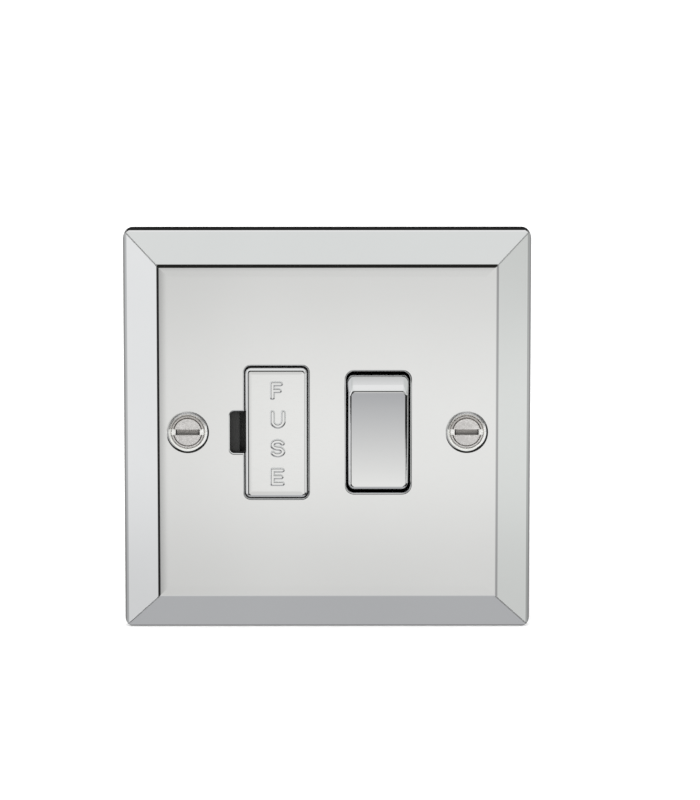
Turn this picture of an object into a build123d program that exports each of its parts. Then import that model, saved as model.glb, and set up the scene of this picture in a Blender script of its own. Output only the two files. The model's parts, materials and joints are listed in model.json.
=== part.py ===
"""Switched fused connection unit for one wall box: bevelled plate, double-pole rocker, fuse drawer.

Millimetres. X runs to the right, Z up and Y into the wall, so the front faces -Y.
The origin is the middle of the wall plane that the plate's rim lies on.
"""

import os
from math import asin, atan2, cos, radians, sin, sqrt, tan

from build123d import *

os.makedirs("parts", exist_ok=True)

# Front plate: a flat raised field, a bevel all round and a short rim down to the wall
plate_size = 88.0
plate_projection = 6.5
sheet = 1.0
bevel_run = 7.4
bevel_drop = 3.0
plate_edge_radius = 1.2
crease_radius = 2.0
mitre_radius = 0.5
plate_corner_radius = 2.2
aperture_edge_radius = 0.4

# Fixing screws and the dimples they sit in
fixing_pitch = 60.3
dimple_radius = 4.12
dimple_lip_radius = 1.2
dimple_hole_radius = 2.1
dimple_land = 0.3
lug_gap = 0.25
screw_head_radius = 3.5
screw_head_land = 0.3
screw_dome_height = 0.5
screw_thread_radius = 1.75
screw_neck_radius = 1.53
screw_neck_clearance = 0.5
screw_length = 25.0
screw_slot_width = 1.2
screw_slot_depth = 1.0
screw_tip_chamfer = 0.5

# Weld studs behind the plate and their nuts
stud_stand_off = 3.0
stud_z = 16.0
stud_margin = 3.0
stud_radius = 1.5
stud_flange_radius = 2.2
stud_flange = 0.5
stud_tail = 0.9
stud_chamfer = 0.3
nut_across_flats = 5.5
nut_height = 2.4

# Clearances
seat_gap = 0.03
hole_fit = 0.15
slide_fit = 0.15
running_fit = 0.06
slot_fit = 0.2

# Openings in the plate
rocker_x = 11.0
rocker_aperture_side_gap = 0.32
rocker_aperture_end_gap = 0.375
rocker_aperture_radius = 1.75
fuse_x = -11.0
fuse_aperture_side_gap = 0.2
fuse_aperture_end_gap = 0.3
fuse_aperture_radius = 1.4
notch_width = 3.1
notch_height = 9.15
notch_radius = 0.9
notch_mouth_radius = 0.5

# Front moulding, the black insert behind the plate
moulding_thickness = 3.0
moulding_corner_radius = 1.5
lug_relief_height = 13.0
notch_floor_depth = 0.5
notch_pocket_width = 1.5
notch_pocket_depth = 2.0
cheek_thickness = 1.5
cheek_height = 8.0
cheek_cover = 1.2
rail_thickness = 1.5
rail_length = 5.5
rail_height = 3.0

# Rocker: a dished plated cap on a moulded body that turns on two trunnions
rocker_pivot_depth = 5.0
rocker_width = 13.14
rocker_side_draft = 3.5
rocker_face_height = 7.8
rocker_face_half = 11.2
rocker_face_dish = 0.55
rocker_rest_tilt = 8.0
rocker_edge_radius = 0.7
rocker_corner_radius = 1.4
rocker_skirt = 2.0
rocker_side_gap = 0.29
rocker_end_gap = 0.3
cap_wall = 1.0
cap_fit = 0.05
trunnion_radius = 1.2
hub_radius = 2.6

# Plungers in the rocker, one for each pole
pole_offset = 3.5
plunger_radius = 1.65
plunger_fit = 0.1
plunger_reach = 10.0
plunger_shoulder = 2.7
plunger_nib_radius = 0.8
plunger_nib = 1.0
tube_wall = 0.85
tube_length = 6.0
tube_bore_front = 4.0
spring_radius = 1.3
spring_wire_radius = 0.2
spring_turns = 5

# Moving contacts, which see-saw on a knife edge, and their silver tips
contact_gap = 0.1
contact_sheet = 0.8
contact_width = 4.0
contact_upper_arm = 11.2
contact_lower_arm = 8.5
knife_gap = 0.05
knife_half = 1.2
knife_height = 1.6
tip_arm = 9.5
tip_radius = 1.5
tip_thickness = 0.6
tip_dome_radius = 4.0
tip_edge = 0.4

# Brass bars, which lie in two layers behind the mechanism
bar = 0.8
bar_layer_gap = 1.8
bus_width = 3.0
bus_end_gap = 0.6
bar_width = 4.0
supply_tail_inset = 1.0
load_tail_inset = 2.15
load_tail_width = 3.3

# Cartridge fuse, its clips and its drawer
fuse_length = 25.4
fuse_radius = 3.175
fuse_cap_length = 6.0
fuse_cap_wall = 0.2
fuse_cap_end = 0.4
fuse_cap_edge_radius = 0.5
fuse_end_gap = 0.1
fuse_depth = 8.5
clip_sheet = 0.6
clip_gap = 0.075
clip_width = 5.0
clip_inset = 2.8
clip_back_gap = 0.4
clip_flare = 0.75
clip_flare_length = 1.4
clip_blade_front = 2.2
cover_side_lip = 0.36
cover_end_lip = 0.5
cover_thickness = 1.5
cover_proud = 0.9
cover_radius = 1.2
cover_edge_radius = 0.72
carrier_width = 12.6
carrier_slab = 2.7
carrier_corner_radius = 0.8
saddle_wall = 0.225
saddle_length = 6.0
saddle_wrap = 1.5
runner_width = 6.0
runner_thickness = 1.0
drawer_travel = 13.0
hook_height = 0.7
hook_length = 0.8

# Terminals along the top and bottom of the housing
terminal_side_wall = 0.85
terminal_end_gap = 0.5
terminal_width = 8.0
terminal_height = 8.5
terminal_depth = 8.0
terminal_lead = 1.5
terminal_edge_radius = 0.5
wire_bore_radius = 2.1
wire_bore_depth = 7.0
wire_bore_inset = 2.8
terminal_screw_radius = 1.7
terminal_screw_clearance = 0.3
terminal_head_radius = 2.9
terminal_head_height = 1.8
terminal_slot_width = 1.0
terminal_slot_depth = 0.9
terminal_recess = 0.7

# Rear housing
housing_width = 42.0
housing_height = 58.0
housing_corner_radius = 0.8
housing_rear_chamfer = 0.6
housing_wall = 1.2
drawer_side_gap = 1.2
chamber_side_gap = 0.25
ear_thickness = 2.0
ear_height = 8.0
back_rib = 1.2
panel_recess = 1.0

# Earth strap, which joins both earth terminals to the plate
strap_width = 3.0
strap_cover = 0.5
strap_riser_z = 6.0
strap_foot = 6.0

# Widths and heights worked out from the sizes above
stud_x = housing_width / 2 + stud_stand_off
moulding_width = 2 * (stud_x + stud_margin)
moulding_height = housing_height
dimple_back_radius = dimple_radius + sheet * sqrt(2)
lug_relief_x = fixing_pitch / 2 - dimple_back_radius - lug_gap
carrier_height = fuse_length + 2 * (fuse_end_gap + runner_thickness)
cover_width = carrier_width + 2 * cover_side_lip
cover_height = carrier_height + 2 * cover_end_lip
fuse_aperture_width = cover_width + 2 * fuse_aperture_side_gap
fuse_aperture_height = cover_height + 2 * fuse_aperture_end_gap
fuse_chamber_width = carrier_width + 2 * drawer_side_gap
saddle_width = 2 * (fuse_radius - fuse_cap_wall + saddle_wall)
clip_z = fuse_length / 2 - clip_inset
terminal_pitch = housing_width / 2 - terminal_side_wall - hole_fit - terminal_width / 2
terminal_outer_z = housing_height / 2 - terminal_end_gap
terminal_inner_z = terminal_outer_z - terminal_height
terminal_z = terminal_inner_z + terminal_height / 2
terminal_screw_z = terminal_outer_z - wire_bore_depth / 2
chamber_half_height = terminal_inner_z - housing_wall
bus_z = chamber_half_height - bus_end_gap - bus_width / 2
supply_tail_x = supply_tail_inset - terminal_pitch
load_tail_x = load_tail_inset - terminal_pitch

# Depths worked out from the sizes above
field_front = -plate_projection
field_rear = field_front + sheet
moulding_rear = field_rear + moulding_thickness
ear_rear = moulding_rear + ear_thickness
pivot_y = field_front + rocker_pivot_depth
rocker_end_radius = sqrt(rocker_face_height**2 + rocker_face_half**2)
rocker_half_behind = sqrt(rocker_end_radius**2 - (rocker_pivot_depth - sheet) ** 2)
rocker_aperture_width = rocker_width + 2 * rocker_aperture_side_gap
rocker_aperture_height = 2 * (rocker_half_behind + rocker_aperture_end_gap)
rocker_skirt_half = rocker_width / 2 + tan(radians(rocker_side_draft)) * (rocker_pivot_depth - rocker_skirt)
rocker_window_width = 2 * (rocker_skirt_half + rocker_side_gap)
rocker_window_height = 2 * (rocker_end_radius + rocker_end_gap)
cheek_x = rocker_window_width / 2 + cheek_thickness / 2
contact_axis_y = pivot_y + plunger_reach + contact_gap + contact_sheet
fuse_y = field_front + fuse_depth
cover_front = field_front - cover_proud
cover_rear = cover_front + cover_thickness
carrier_rear = cover_rear + carrier_slab
carrier_window_width = carrier_width + 2 * slide_fit
carrier_window_height = carrier_height + 2 * slide_fit
hook_front = moulding_rear + drawer_travel + slide_fit
live_x = rocker_x - pole_offset
neutral_x = rocker_x + pole_offset

# Where a moving tip meets its fixed tip: the tip's face, then the centre of the fixed dome
tilt = radians(rocker_rest_tilt)
touch_y = contact_axis_y + tip_arm * sin(tilt) + tip_thickness * cos(tilt)
touch_z = tip_arm * cos(tilt) - tip_thickness * sin(tilt)
dome_y = touch_y + (tip_dome_radius + seat_gap) * cos(tilt)
dome_z = touch_z - (tip_dome_radius + seat_gap) * sin(tilt)
dome_height = tip_dome_radius - sqrt(tip_dome_radius**2 - tip_radius**2)
bar_a_front = dome_y - tip_dome_radius + dome_height + tip_edge
bar_b_front = bar_a_front + bar + bar_layer_gap
chamber_rear = bar_b_front + bar + housing_wall
strap_front = chamber_rear + strap_cover
terminal_front = bar_a_front - terminal_lead
terminal_rear = terminal_front + terminal_depth
wire_bore_y = terminal_front + wire_bore_inset
housing_rear = terminal_rear + terminal_head_height + terminal_recess
switch_chamber_width = rocker_window_width + 2 * (cheek_thickness + chamber_side_gap)
partition_left = fuse_x + fuse_chamber_width / 2
partition_right = rocker_x - switch_chamber_width / 2
strap_x = (partition_left + partition_right) / 2

rocker_axis = Axis((0, pivot_y, 0), (1, 0, 0))
contact_axis = Axis((0, contact_axis_y, 0), (1, 0, 0))


def facing(y):
    """Plane at depth y that looks out of the wall: axes X and Z, positive extrusion forwards."""
    return Plane.XZ.offset(-y)


def side_on(x):
    """Plane across the unit at x: axes Z and Y."""
    return Plane((x, 0, 0), x_dir=(0, 0, 1), z_dir=(-1, 0, 0))


def strip(x0, x1, z0, z1, mode=Mode.ADD):
    """Rectangle between two X and two Z values in a sketch that faces the room."""
    with Locations(((x0 + x1) / 2, (z0 + z1) / 2)):
        Rectangle(abs(x1 - x0), abs(z1 - z0), mode=mode)


def finish(piece, name):
    """Label a finished piece and write its STEP file."""
    piece.label = name
    export_step(piece, f"parts/{name}.step")


# Front plate
def tray(size, field, front, shoulder, edge, corner):
    """Low pyramid on a rim: one section drawn both ways, so that the bevels meet in mitres.

    The section runs up the rim to the shoulder, along the bevel and across the field.
    """
    half = size / 2
    outline = [
        (-half, 0),
        (-half, shoulder),
        (-field / 2, front),
        (field / 2, front),
        (half, shoulder),
        (half, 0),
    ]
    with BuildPart() as body:
        for plane, length, mode in (
            (Plane.XY.offset(-half), size, Mode.ADD),
            (side_on(size), 2 * size, Mode.INTERSECT),
        ):
            with BuildSketch(plane) as section:
                with BuildLine():
                    Polyline(*outline, close=True)
                make_face()
                fillet(section.vertices().filter_by_position(Axis.Y, shoulder, shoulder), radius=edge)
            extrude(amount=length, mode=mode)
        with BuildSketch(facing(size)):
            RectangleRounded(size, size, corner)
        extrude(amount=2 * size, mode=Mode.INTERSECT)
    return body.part


plate_field = plate_size - 2 * bevel_run
plate_shoulder = field_front + bevel_drop
bevel_angle = atan2(bevel_drop, bevel_run)
inner_field = plate_field - 2 * sheet * tan(bevel_angle / 2)
inner_size = plate_size - 2 * sheet
inner_shoulder = field_rear + (inner_size - inner_field) / 2 * tan(bevel_angle)
plate_outside = tray(
    plate_size, plate_field, field_front, plate_shoulder, plate_edge_radius, plate_corner_radius
)
plate_inside = tray(
    inner_size,
    inner_field,
    field_rear,
    inner_shoulder,
    plate_edge_radius - sheet,
    plate_corner_radius - sheet,
)

dimple_seat = field_front + dimple_radius - dimple_hole_radius
dimple_rear = dimple_seat + dimple_land
lip_run = dimple_lip_radius * tan(radians(22.5))
lip_drop = lip_run * sqrt(0.5)
notch_left = fuse_x - fuse_aperture_width / 2 - notch_width

with BuildPart() as front_plate:
    add(plate_outside)
    fillet(front_plate.faces().sort_by(Axis.Y)[0].edges(), radius=crease_radius)
    straight = front_plate.edges().filter_by(GeomType.LINE)
    sloping = straight.filter_by(lambda edge: min(abs(run) for run in edge.tangent_at(0.5)) > 0.1)
    fillet(sloping, radius=mitre_radius)
    add(plate_inside, mode=Mode.SUBTRACT)
    with BuildSketch(facing(field_front)) as openings:
        with Locations((rocker_x, 0)):
            RectangleRounded(rocker_aperture_width, rocker_aperture_height, rocker_aperture_radius)
        with Locations((fuse_x, 0)):
            RectangleRounded(fuse_aperture_width, fuse_aperture_height, fuse_aperture_radius)
        with Locations((notch_left + notch_width, 0)):
            RectangleRounded(2 * notch_width, notch_height, notch_radius)
        mouth_x = fuse_x - fuse_aperture_width / 2
        mouth = openings.vertices().filter_by_position(Axis.X, mouth_x, mouth_x)
        mouth = mouth.filter_by_position(Axis.Y, -notch_height / 2, notch_height / 2)
        fillet(mouth, radius=notch_mouth_radius)
    extrude(amount=-sheet, mode=Mode.SUBTRACT)
    field_face = front_plate.faces().sort_by(Axis.Y)[0]
    fillet(field_face.inner_wires().edges(), radius=aperture_edge_radius)
    for side in (-1, 1):
        screw_x = side * fixing_pitch / 2
        screw_line = Axis((screw_x, 0, 0), (0, 1, 0))
        with BuildSketch(Plane.XY):
            with BuildLine():
                Polyline(
                    (screw_x, field_rear - sheet / 2),
                    (screw_x + dimple_back_radius - sheet / 2, field_rear - sheet / 2),
                    (screw_x + dimple_back_radius - (dimple_rear - field_front), dimple_rear),
                    (screw_x, dimple_rear),
                    close=True,
                )
            make_face()
        revolve(axis=screw_line)
        with BuildSketch(Plane.XY):
            with BuildLine():
                RadiusArc(
                    (screw_x + dimple_radius + lip_run, field_front),
                    (screw_x + dimple_radius - lip_drop, field_front + lip_drop),
                    dimple_lip_radius,
                )
                Polyline(
                    (screw_x + dimple_radius - lip_drop, field_front + lip_drop),
                    (screw_x + dimple_hole_radius, dimple_seat),
                    (screw_x + dimple_hole_radius, dimple_rear),
                    (screw_x, dimple_rear),
                    (screw_x, field_front - sheet),
                    (screw_x + dimple_radius + lip_run, field_front - sheet),
                    (screw_x + dimple_radius + lip_run, field_front),
                )
            make_face()
        revolve(axis=screw_line, mode=Mode.SUBTRACT)
finish(front_plate.part, "front_plate")

# Studs welded to the back of the plate
stud_length = ear_rear + nut_height + stud_tail - field_rear
with BuildPart() as plate_studs:
    for radius, length in ((stud_flange_radius, stud_flange), (stud_radius, stud_length)):
        with BuildSketch(facing(field_rear)):
            with GridLocations(2 * stud_x, 2 * stud_z, 2, 2):
                Circle(radius)
        extrude(amount=-length)
    chamfer(plate_studs.faces().group_by(Axis.Y)[-1].edges(), length=stud_chamfer)
finish(plate_studs.part, "plate_studs")

with BuildPart() as stud_nuts:
    with BuildSketch(facing(ear_rear)):
        with GridLocations(2 * stud_x, 2 * stud_z, 2, 2):
            RegularPolygon(nut_across_flats / 2, 6, major_radius=False, rotation=30)
            Circle(stud_radius + running_fit, mode=Mode.SUBTRACT)
    extrude(amount=-nut_height)
finish(stud_nuts.part, "stud_nuts")

# Fixing screws: raised countersunk heads, a plain neck through the plate and the threaded length
head_seat = field_front + dimple_radius - screw_head_radius - seat_gap
head_edge = head_seat - screw_head_land
head_top = head_edge - screw_dome_height
neck_front = head_seat + screw_head_radius - screw_neck_radius
thread_front = dimple_rear + screw_neck_clearance
screw_tip = head_edge + screw_length
with BuildPart() as fixing_screws:
    screw_x = fixing_pitch / 2
    dome_middle = screw_head_radius / 2
    dome_sphere = (screw_head_radius**2 + screw_dome_height**2) / (2 * screw_dome_height)
    dome_middle_y = head_top + dome_sphere - sqrt(dome_sphere**2 - dome_middle**2)
    with BuildSketch(Plane.XY):
        with BuildLine():
            ThreePointArc(
                (screw_x, head_top),
                (screw_x + dome_middle, dome_middle_y),
                (screw_x + screw_head_radius, head_edge),
            )
            Polyline(
                (screw_x + screw_head_radius, head_edge),
                (screw_x + screw_head_radius, head_seat),
                (screw_x + screw_neck_radius, neck_front),
                (screw_x + screw_neck_radius, thread_front),
                (screw_x + screw_thread_radius, thread_front + screw_thread_radius - screw_neck_radius),
                (screw_x + screw_thread_radius, screw_tip - screw_tip_chamfer),
                (screw_x + screw_thread_radius - screw_tip_chamfer, screw_tip),
                (screw_x, screw_tip),
                (screw_x, head_top),
            )
        make_face()
    revolve(axis=Axis((screw_x, 0, 0), (0, 1, 0)))
    with BuildSketch(facing(head_top)):
        with Locations((screw_x, 0)):
            Rectangle(3 * screw_head_radius, screw_slot_width)
    extrude(amount=-screw_slot_depth, mode=Mode.SUBTRACT)
    mirror(about=Plane.YZ)
finish(fixing_screws.part, "fixing_screws")

# Front moulding
rail_x = runner_width / 2 + slide_fit + rail_thickness / 2
runner_z = carrier_height / 2 - runner_thickness
window_left = fuse_x - carrier_window_width / 2
with BuildPart() as front_moulding:
    with BuildSketch(facing(field_rear)):
        RectangleRounded(moulding_width, moulding_height, moulding_corner_radius)
        for side in (-1, 1):
            strip(
                side * lug_relief_x,
                side * moulding_width / 2,
                -lug_relief_height / 2,
                lug_relief_height / 2,
                mode=Mode.SUBTRACT,
            )
        with Locations((rocker_x, 0)):
            Rectangle(rocker_window_width, rocker_window_height, mode=Mode.SUBTRACT)
        with Locations((fuse_x, 0)):
            Rectangle(carrier_window_width, carrier_window_height, mode=Mode.SUBTRACT)
        with GridLocations(2 * stud_x, 2 * stud_z, 2, 2):
            Circle(stud_radius + hole_fit, mode=Mode.SUBTRACT)
    extrude(amount=-moulding_thickness)
    with BuildSketch(facing(field_rear)):
        with GridLocations(2 * stud_x, 2 * stud_z, 2, 2):
            Circle(stud_flange_radius + hole_fit)
    extrude(amount=-stud_flange - hole_fit, mode=Mode.SUBTRACT)
    # Shallow floor under the plate's notch, and the screwdriver pocket beside the drawer
    with BuildSketch(facing(field_rear)):
        strip(notch_left, window_left, -notch_height / 2, notch_height / 2)
    extrude(amount=-notch_floor_depth, mode=Mode.SUBTRACT)
    with BuildSketch(facing(field_rear)):
        strip(window_left - notch_pocket_width, window_left, -notch_height / 2, notch_height / 2)
    extrude(amount=-notch_pocket_depth, mode=Mode.SUBTRACT)
    # Rails that guide the drawer's runners
    with BuildSketch(facing(moulding_rear)):
        for side in (-1, 1):
            with Locations((fuse_x, side * (runner_z + rail_height / 2))):
                with GridLocations(2 * rail_x, 0, 2, 1):
                    Rectangle(rail_thickness, rail_height)
    extrude(amount=-rail_length)
    # Cheeks that carry the rocker's trunnions
    with BuildSketch(facing(moulding_rear)):
        with Locations((rocker_x, 0)):
            with GridLocations(2 * cheek_x, 0, 2, 1):
                Rectangle(cheek_thickness, cheek_height)
    extrude(amount=moulding_rear - pivot_y - trunnion_radius - cheek_cover)
    with BuildSketch(side_on(rocker_x)):
        with Locations((0, pivot_y)):
            Circle(trunnion_radius + running_fit)
    extrude(amount=rocker_window_width / 2 + cheek_thickness, both=True, mode=Mode.SUBTRACT)
    # Seat for the earth strap's foot, and the slot for its riser
    with BuildSketch(facing(field_rear)):
        strip(
            strap_x - strap_width / 2 - slot_fit,
            strap_x + strap_width / 2 + slot_fit,
            strap_riser_z - slot_fit,
            strap_riser_z + strap_foot + slot_fit,
        )
    extrude(amount=-bar - slot_fit, mode=Mode.SUBTRACT)
    with BuildSketch(facing(field_rear)):
        strip(
            strap_x - strap_width / 2 - slot_fit,
            strap_x + strap_width / 2 + slot_fit,
            strap_riser_z - slot_fit,
            strap_riser_z + bar + slot_fit,
        )
    extrude(amount=-moulding_thickness, mode=Mode.SUBTRACT)
finish(front_moulding.part, "front_moulding")


# Rocker
def rocker_form(shrink, skirt):
    """Rocker outline set in by shrink: dished face, ends on arcs about the pivot, drafted sides."""
    reach = rocker_end_radius - shrink
    face = rocker_face_height - shrink
    face_half = sqrt(reach**2 - face**2)
    skirt_half = sqrt(reach**2 - skirt**2)
    middle = (asin(face / reach) + asin(skirt / reach)) / 2
    middle_half, middle_front = reach * cos(middle), reach * sin(middle)
    with BuildPart() as form:
        with BuildSketch(side_on(rocker_x)):
            with BuildLine():
                ThreePointArc(
                    (skirt_half, pivot_y - skirt),
                    (middle_half, pivot_y - middle_front),
                    (face_half, pivot_y - face),
                )
                ThreePointArc(
                    (face_half, pivot_y - face),
                    (0, pivot_y - face + rocker_face_dish),
                    (-face_half, pivot_y - face),
                )
                ThreePointArc(
                    (-face_half, pivot_y - face),
                    (-middle_half, pivot_y - middle_front),
                    (-skirt_half, pivot_y - skirt),
                )
                Line((-skirt_half, pivot_y - skirt), (skirt_half, pivot_y - skirt))
            make_face()
        extrude(amount=rocker_width, both=True)
        slope = tan(radians(rocker_side_draft))
        front_half = rocker_width / 2 - shrink - slope * (rocker_end_radius - rocker_pivot_depth)
        back_half = rocker_width / 2 - shrink + slope * rocker_pivot_depth
        with BuildSketch(Plane.XY.offset(-rocker_end_radius)):
            with BuildLine():
                Polyline(
                    (rocker_x - front_half, pivot_y - rocker_end_radius),
                    (rocker_x + front_half, pivot_y - rocker_end_radius),
                    (rocker_x + back_half, pivot_y),
                    (rocker_x - back_half, pivot_y),
                    close=True,
                )
            make_face()
        extrude(amount=2 * rocker_end_radius, mode=Mode.INTERSECT)
    return form.part


cap_outside = rocker_form(0, rocker_skirt)
cap_inside = rocker_form(cap_wall, 0)
body_outside = rocker_form(cap_wall + cap_fit, 0)

with BuildPart() as rocker_cap:
    add(cap_outside)
    corners = rocker_cap.edges().filter_by(lambda edge: abs(edge.tangent_at(0.5).Y) > 0.5)
    fillet(corners, radius=rocker_corner_radius)
    fillet(rocker_cap.faces().sort_by(Axis.Y)[0].edges(), radius=rocker_edge_radius)
    add(cap_inside, mode=Mode.SUBTRACT)
finish(rocker_cap.part.rotate(rocker_axis, rocker_rest_tilt), "rocker_cap")

tube_bore_radius = plunger_radius + plunger_fit
with BuildPart() as rocker_body:
    add(body_outside)
    for radius, half_length in (
        (hub_radius, pole_offset + tube_bore_radius),
        (trunnion_radius, rocker_window_width / 2 + cheek_thickness - hole_fit),
    ):
        with BuildSketch(side_on(rocker_x)):
            with Locations((0, pivot_y)):
                Circle(radius)
        extrude(amount=half_length, both=True)
    with BuildSketch(facing(pivot_y)):
        with Locations((rocker_x, 0)):
            with GridLocations(2 * pole_offset, 0, 2, 1):
                Circle(tube_bore_radius + tube_wall)
    extrude(amount=-tube_length)
    with BuildSketch(facing(pivot_y + tube_length)):
        with Locations((rocker_x, 0)):
            with GridLocations(2 * pole_offset, 0, 2, 1):
                Circle(tube_bore_radius)
    extrude(amount=tube_length + tube_bore_front, mode=Mode.SUBTRACT)
finish(rocker_body.part.rotate(rocker_axis, rocker_rest_tilt), "rocker_body")


def plunger(x):
    """Round-nosed plunger that slides in the rocker's tube, with a nib inside its spring."""
    shoulder = pivot_y + plunger_shoulder
    nose = pivot_y + plunger_reach
    nose_root = nose - plunger_radius
    with BuildPart() as pin:
        with BuildSketch(Plane.XY):
            with BuildLine():
                Polyline(
                    (x, nose),
                    (x, shoulder - plunger_nib),
                    (x + plunger_nib_radius, shoulder - plunger_nib),
                    (x + plunger_nib_radius, shoulder),
                    (x + plunger_radius, shoulder),
                    (x + plunger_radius, nose_root),
                )
                RadiusArc((x + plunger_radius, nose_root), (x, nose), -plunger_radius)
            make_face()
        revolve(axis=Axis((x, 0, 0), (0, 1, 0)))
    return pin.part.rotate(rocker_axis, rocker_rest_tilt)


def plunger_spring(x):
    """Coil spring between the bottom of the tube's bore and the plunger's shoulder."""
    front = pivot_y - tube_bore_front + spring_wire_radius + seat_gap
    rear = pivot_y + plunger_shoulder - spring_wire_radius - seat_gap
    length = rear - front
    with BuildPart() as coil:
        with BuildLine():
            turns = Helix(length / spring_turns, length, spring_radius, (x, front, 0), (0, 1, 0))
        # Six flats stand for the round wire, so that the coil has few faces
        with BuildSketch(Plane(turns @ 0, z_dir=turns % 0)):
            RegularPolygon(spring_wire_radius, 6)
        sweep(path=turns, is_frenet=True)
    return coil.part.rotate(rocker_axis, rocker_rest_tilt)


# Moving contacts
def moving_contact(x):
    """Flat arm that see-saws about its back face on the knife edge, shown with the switch on."""
    with BuildPart() as arm:
        with BuildSketch(facing(contact_axis_y)) as outline:
            strip(x - contact_width / 2, x + contact_width / 2, -contact_lower_arm, contact_upper_arm)
            fillet(outline.vertices(), radius=contact_width / 4)
        extrude(amount=contact_sheet)
    return arm.part.rotate(contact_axis, -rocker_rest_tilt)


def contact_tip(x):
    """Silver tip on the back of a moving contact."""
    with BuildPart() as tip:
        with BuildSketch(facing(contact_axis_y)):
            with Locations((x, tip_arm)):
                Circle(tip_radius)
        extrude(amount=-tip_thickness)
    return tip.part.rotate(contact_axis, -rocker_rest_tilt)


for pole, pole_x in (("live", live_x), ("neutral", neutral_x)):
    finish(plunger(pole_x), f"plunger_{pole}")
    finish(plunger_spring(pole_x), f"plunger_spring_{pole}")
    finish(moving_contact(pole_x), f"moving_contact_{pole}")
    finish(contact_tip(pole_x), f"contact_tip_{pole}")

# Fixed tips, domed so that the tilted moving tips meet them squarely
with BuildPart() as fixed_contact_tips:
    with BuildSketch(Plane.XY.offset(dome_z)):
        with BuildLine():
            Polyline(
                (live_x, dome_y - tip_dome_radius),
                (live_x, bar_a_front),
                (live_x + tip_radius, bar_a_front),
                (live_x + tip_radius, bar_a_front - tip_edge),
            )
            RadiusArc(
                (live_x + tip_radius, bar_a_front - tip_edge),
                (live_x, dome_y - tip_dome_radius),
                tip_dome_radius,
            )
        make_face()
    revolve(axis=Axis((live_x, 0, dome_z), (0, 1, 0)))
    mirror(about=Plane.YZ.offset(rocker_x))
finish(fixed_contact_tips.part, "fixed_contact_tips")


# Bars: the outline of each, drawn in a sketch that faces the room
def live_supply_outline():
    """From the live supply terminal along the bus and down to the live fixed tip."""
    tail_left = supply_tail_x - bar_width / 2
    bus_low = bus_z - bus_width / 2
    strip(tail_left, tail_left + bar_width, bus_low, terminal_inner_z)
    strip(tail_left, live_x + bar_width / 2, bus_low, bus_low + bus_width)
    strip(live_x - bar_width / 2, live_x + bar_width / 2, dome_z - bar_width / 2, bus_z)


def neutral_supply_outline():
    """From the neutral supply terminal straight down to the neutral fixed tip."""
    strip(neutral_x - bar_width / 2, neutral_x + bar_width / 2, dome_z - bar_width / 2, terminal_inner_z)


def live_bridge_outline():
    """From the live knife edge across to the upper fuse clip."""
    strip(fuse_x - bar_width / 2, live_x + bar_width / 2, -bar_width / 2, bar_width / 2)
    strip(fuse_x - bar_width / 2, fuse_x + bar_width / 2, 0, clip_z + bar_width / 2)


def live_load_outline():
    """From the lower fuse clip down to the live load terminal."""
    tail_left = load_tail_x - load_tail_width / 2
    strip(tail_left, fuse_x + bar_width / 2, -clip_z - bar_width / 2, -clip_z + bar_width / 2)
    strip(tail_left, load_tail_x + load_tail_width / 2, -terminal_inner_z, -clip_z)


def neutral_load_outline():
    """From the neutral knife edge straight down to the neutral load terminal."""
    strip(neutral_x - bar_width / 2, neutral_x + bar_width / 2, -terminal_inner_z, bar_width / 2)


def flat_bar(outline, front):
    """Brass bar of the given outline."""
    with BuildPart() as metal:
        with BuildSketch(facing(front)):
            outline()
        extrude(amount=-bar)
    return metal.part


def knife_bar(outline, x):
    """Brass bar with the upright knife edge that a moving contact rocks on."""
    edge = contact_axis_y + knife_gap
    with BuildPart() as metal:
        with BuildSketch(facing(bar_b_front)):
            outline()
        extrude(amount=-bar)
        with BuildSketch(side_on(x)):
            with BuildLine():
                Polyline(
                    (0, edge),
                    (knife_half, edge + knife_height),
                    (knife_half, bar_b_front),
                    (-knife_half, bar_b_front),
                    (-knife_half, edge + knife_height),
                    close=True,
                )
            make_face()
        extrude(amount=contact_width / 2, both=True)
    return metal.part


finish(flat_bar(live_supply_outline, bar_a_front), "live_supply_bar")
finish(flat_bar(neutral_supply_outline, bar_a_front), "neutral_supply_bar")
finish(knife_bar(live_bridge_outline, live_x), "live_bridge_bar")
finish(knife_bar(neutral_load_outline, neutral_x), "neutral_load_bar")
finish(flat_bar(live_load_outline, bar_b_front), "live_load_bar")

# Earth strap: a strip down the back, a riser through the partition and a foot behind the plate
with BuildPart() as earth_strap:
    with BuildSketch(facing(strap_front)):
        strip(strap_x - strap_width / 2, strap_x + strap_width / 2, -terminal_inner_z, terminal_inner_z)
    extrude(amount=-bar)
    with BuildSketch(side_on(strap_x)):
        with BuildLine():
            Polyline(
                (strap_riser_z, strap_front),
                (strap_riser_z, field_rear),
                (strap_riser_z + strap_foot, field_rear),
                (strap_riser_z + strap_foot, field_rear + bar),
                (strap_riser_z + bar, field_rear + bar),
                (strap_riser_z + bar, strap_front),
                close=True,
            )
        make_face()
    extrude(amount=strap_width / 2, both=True)
finish(earth_strap.part, "earth_strap")

# Fuse: a ceramic barrel in two plated caps
with BuildPart() as fuse_barrel:
    with BuildSketch(Plane.XY):
        with Locations((fuse_x, fuse_y)):
            Circle(fuse_radius - fuse_cap_wall - seat_gap)
    extrude(amount=fuse_length / 2 - fuse_cap_end - seat_gap, both=True)
finish(fuse_barrel.part, "fuse_barrel")

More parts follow.
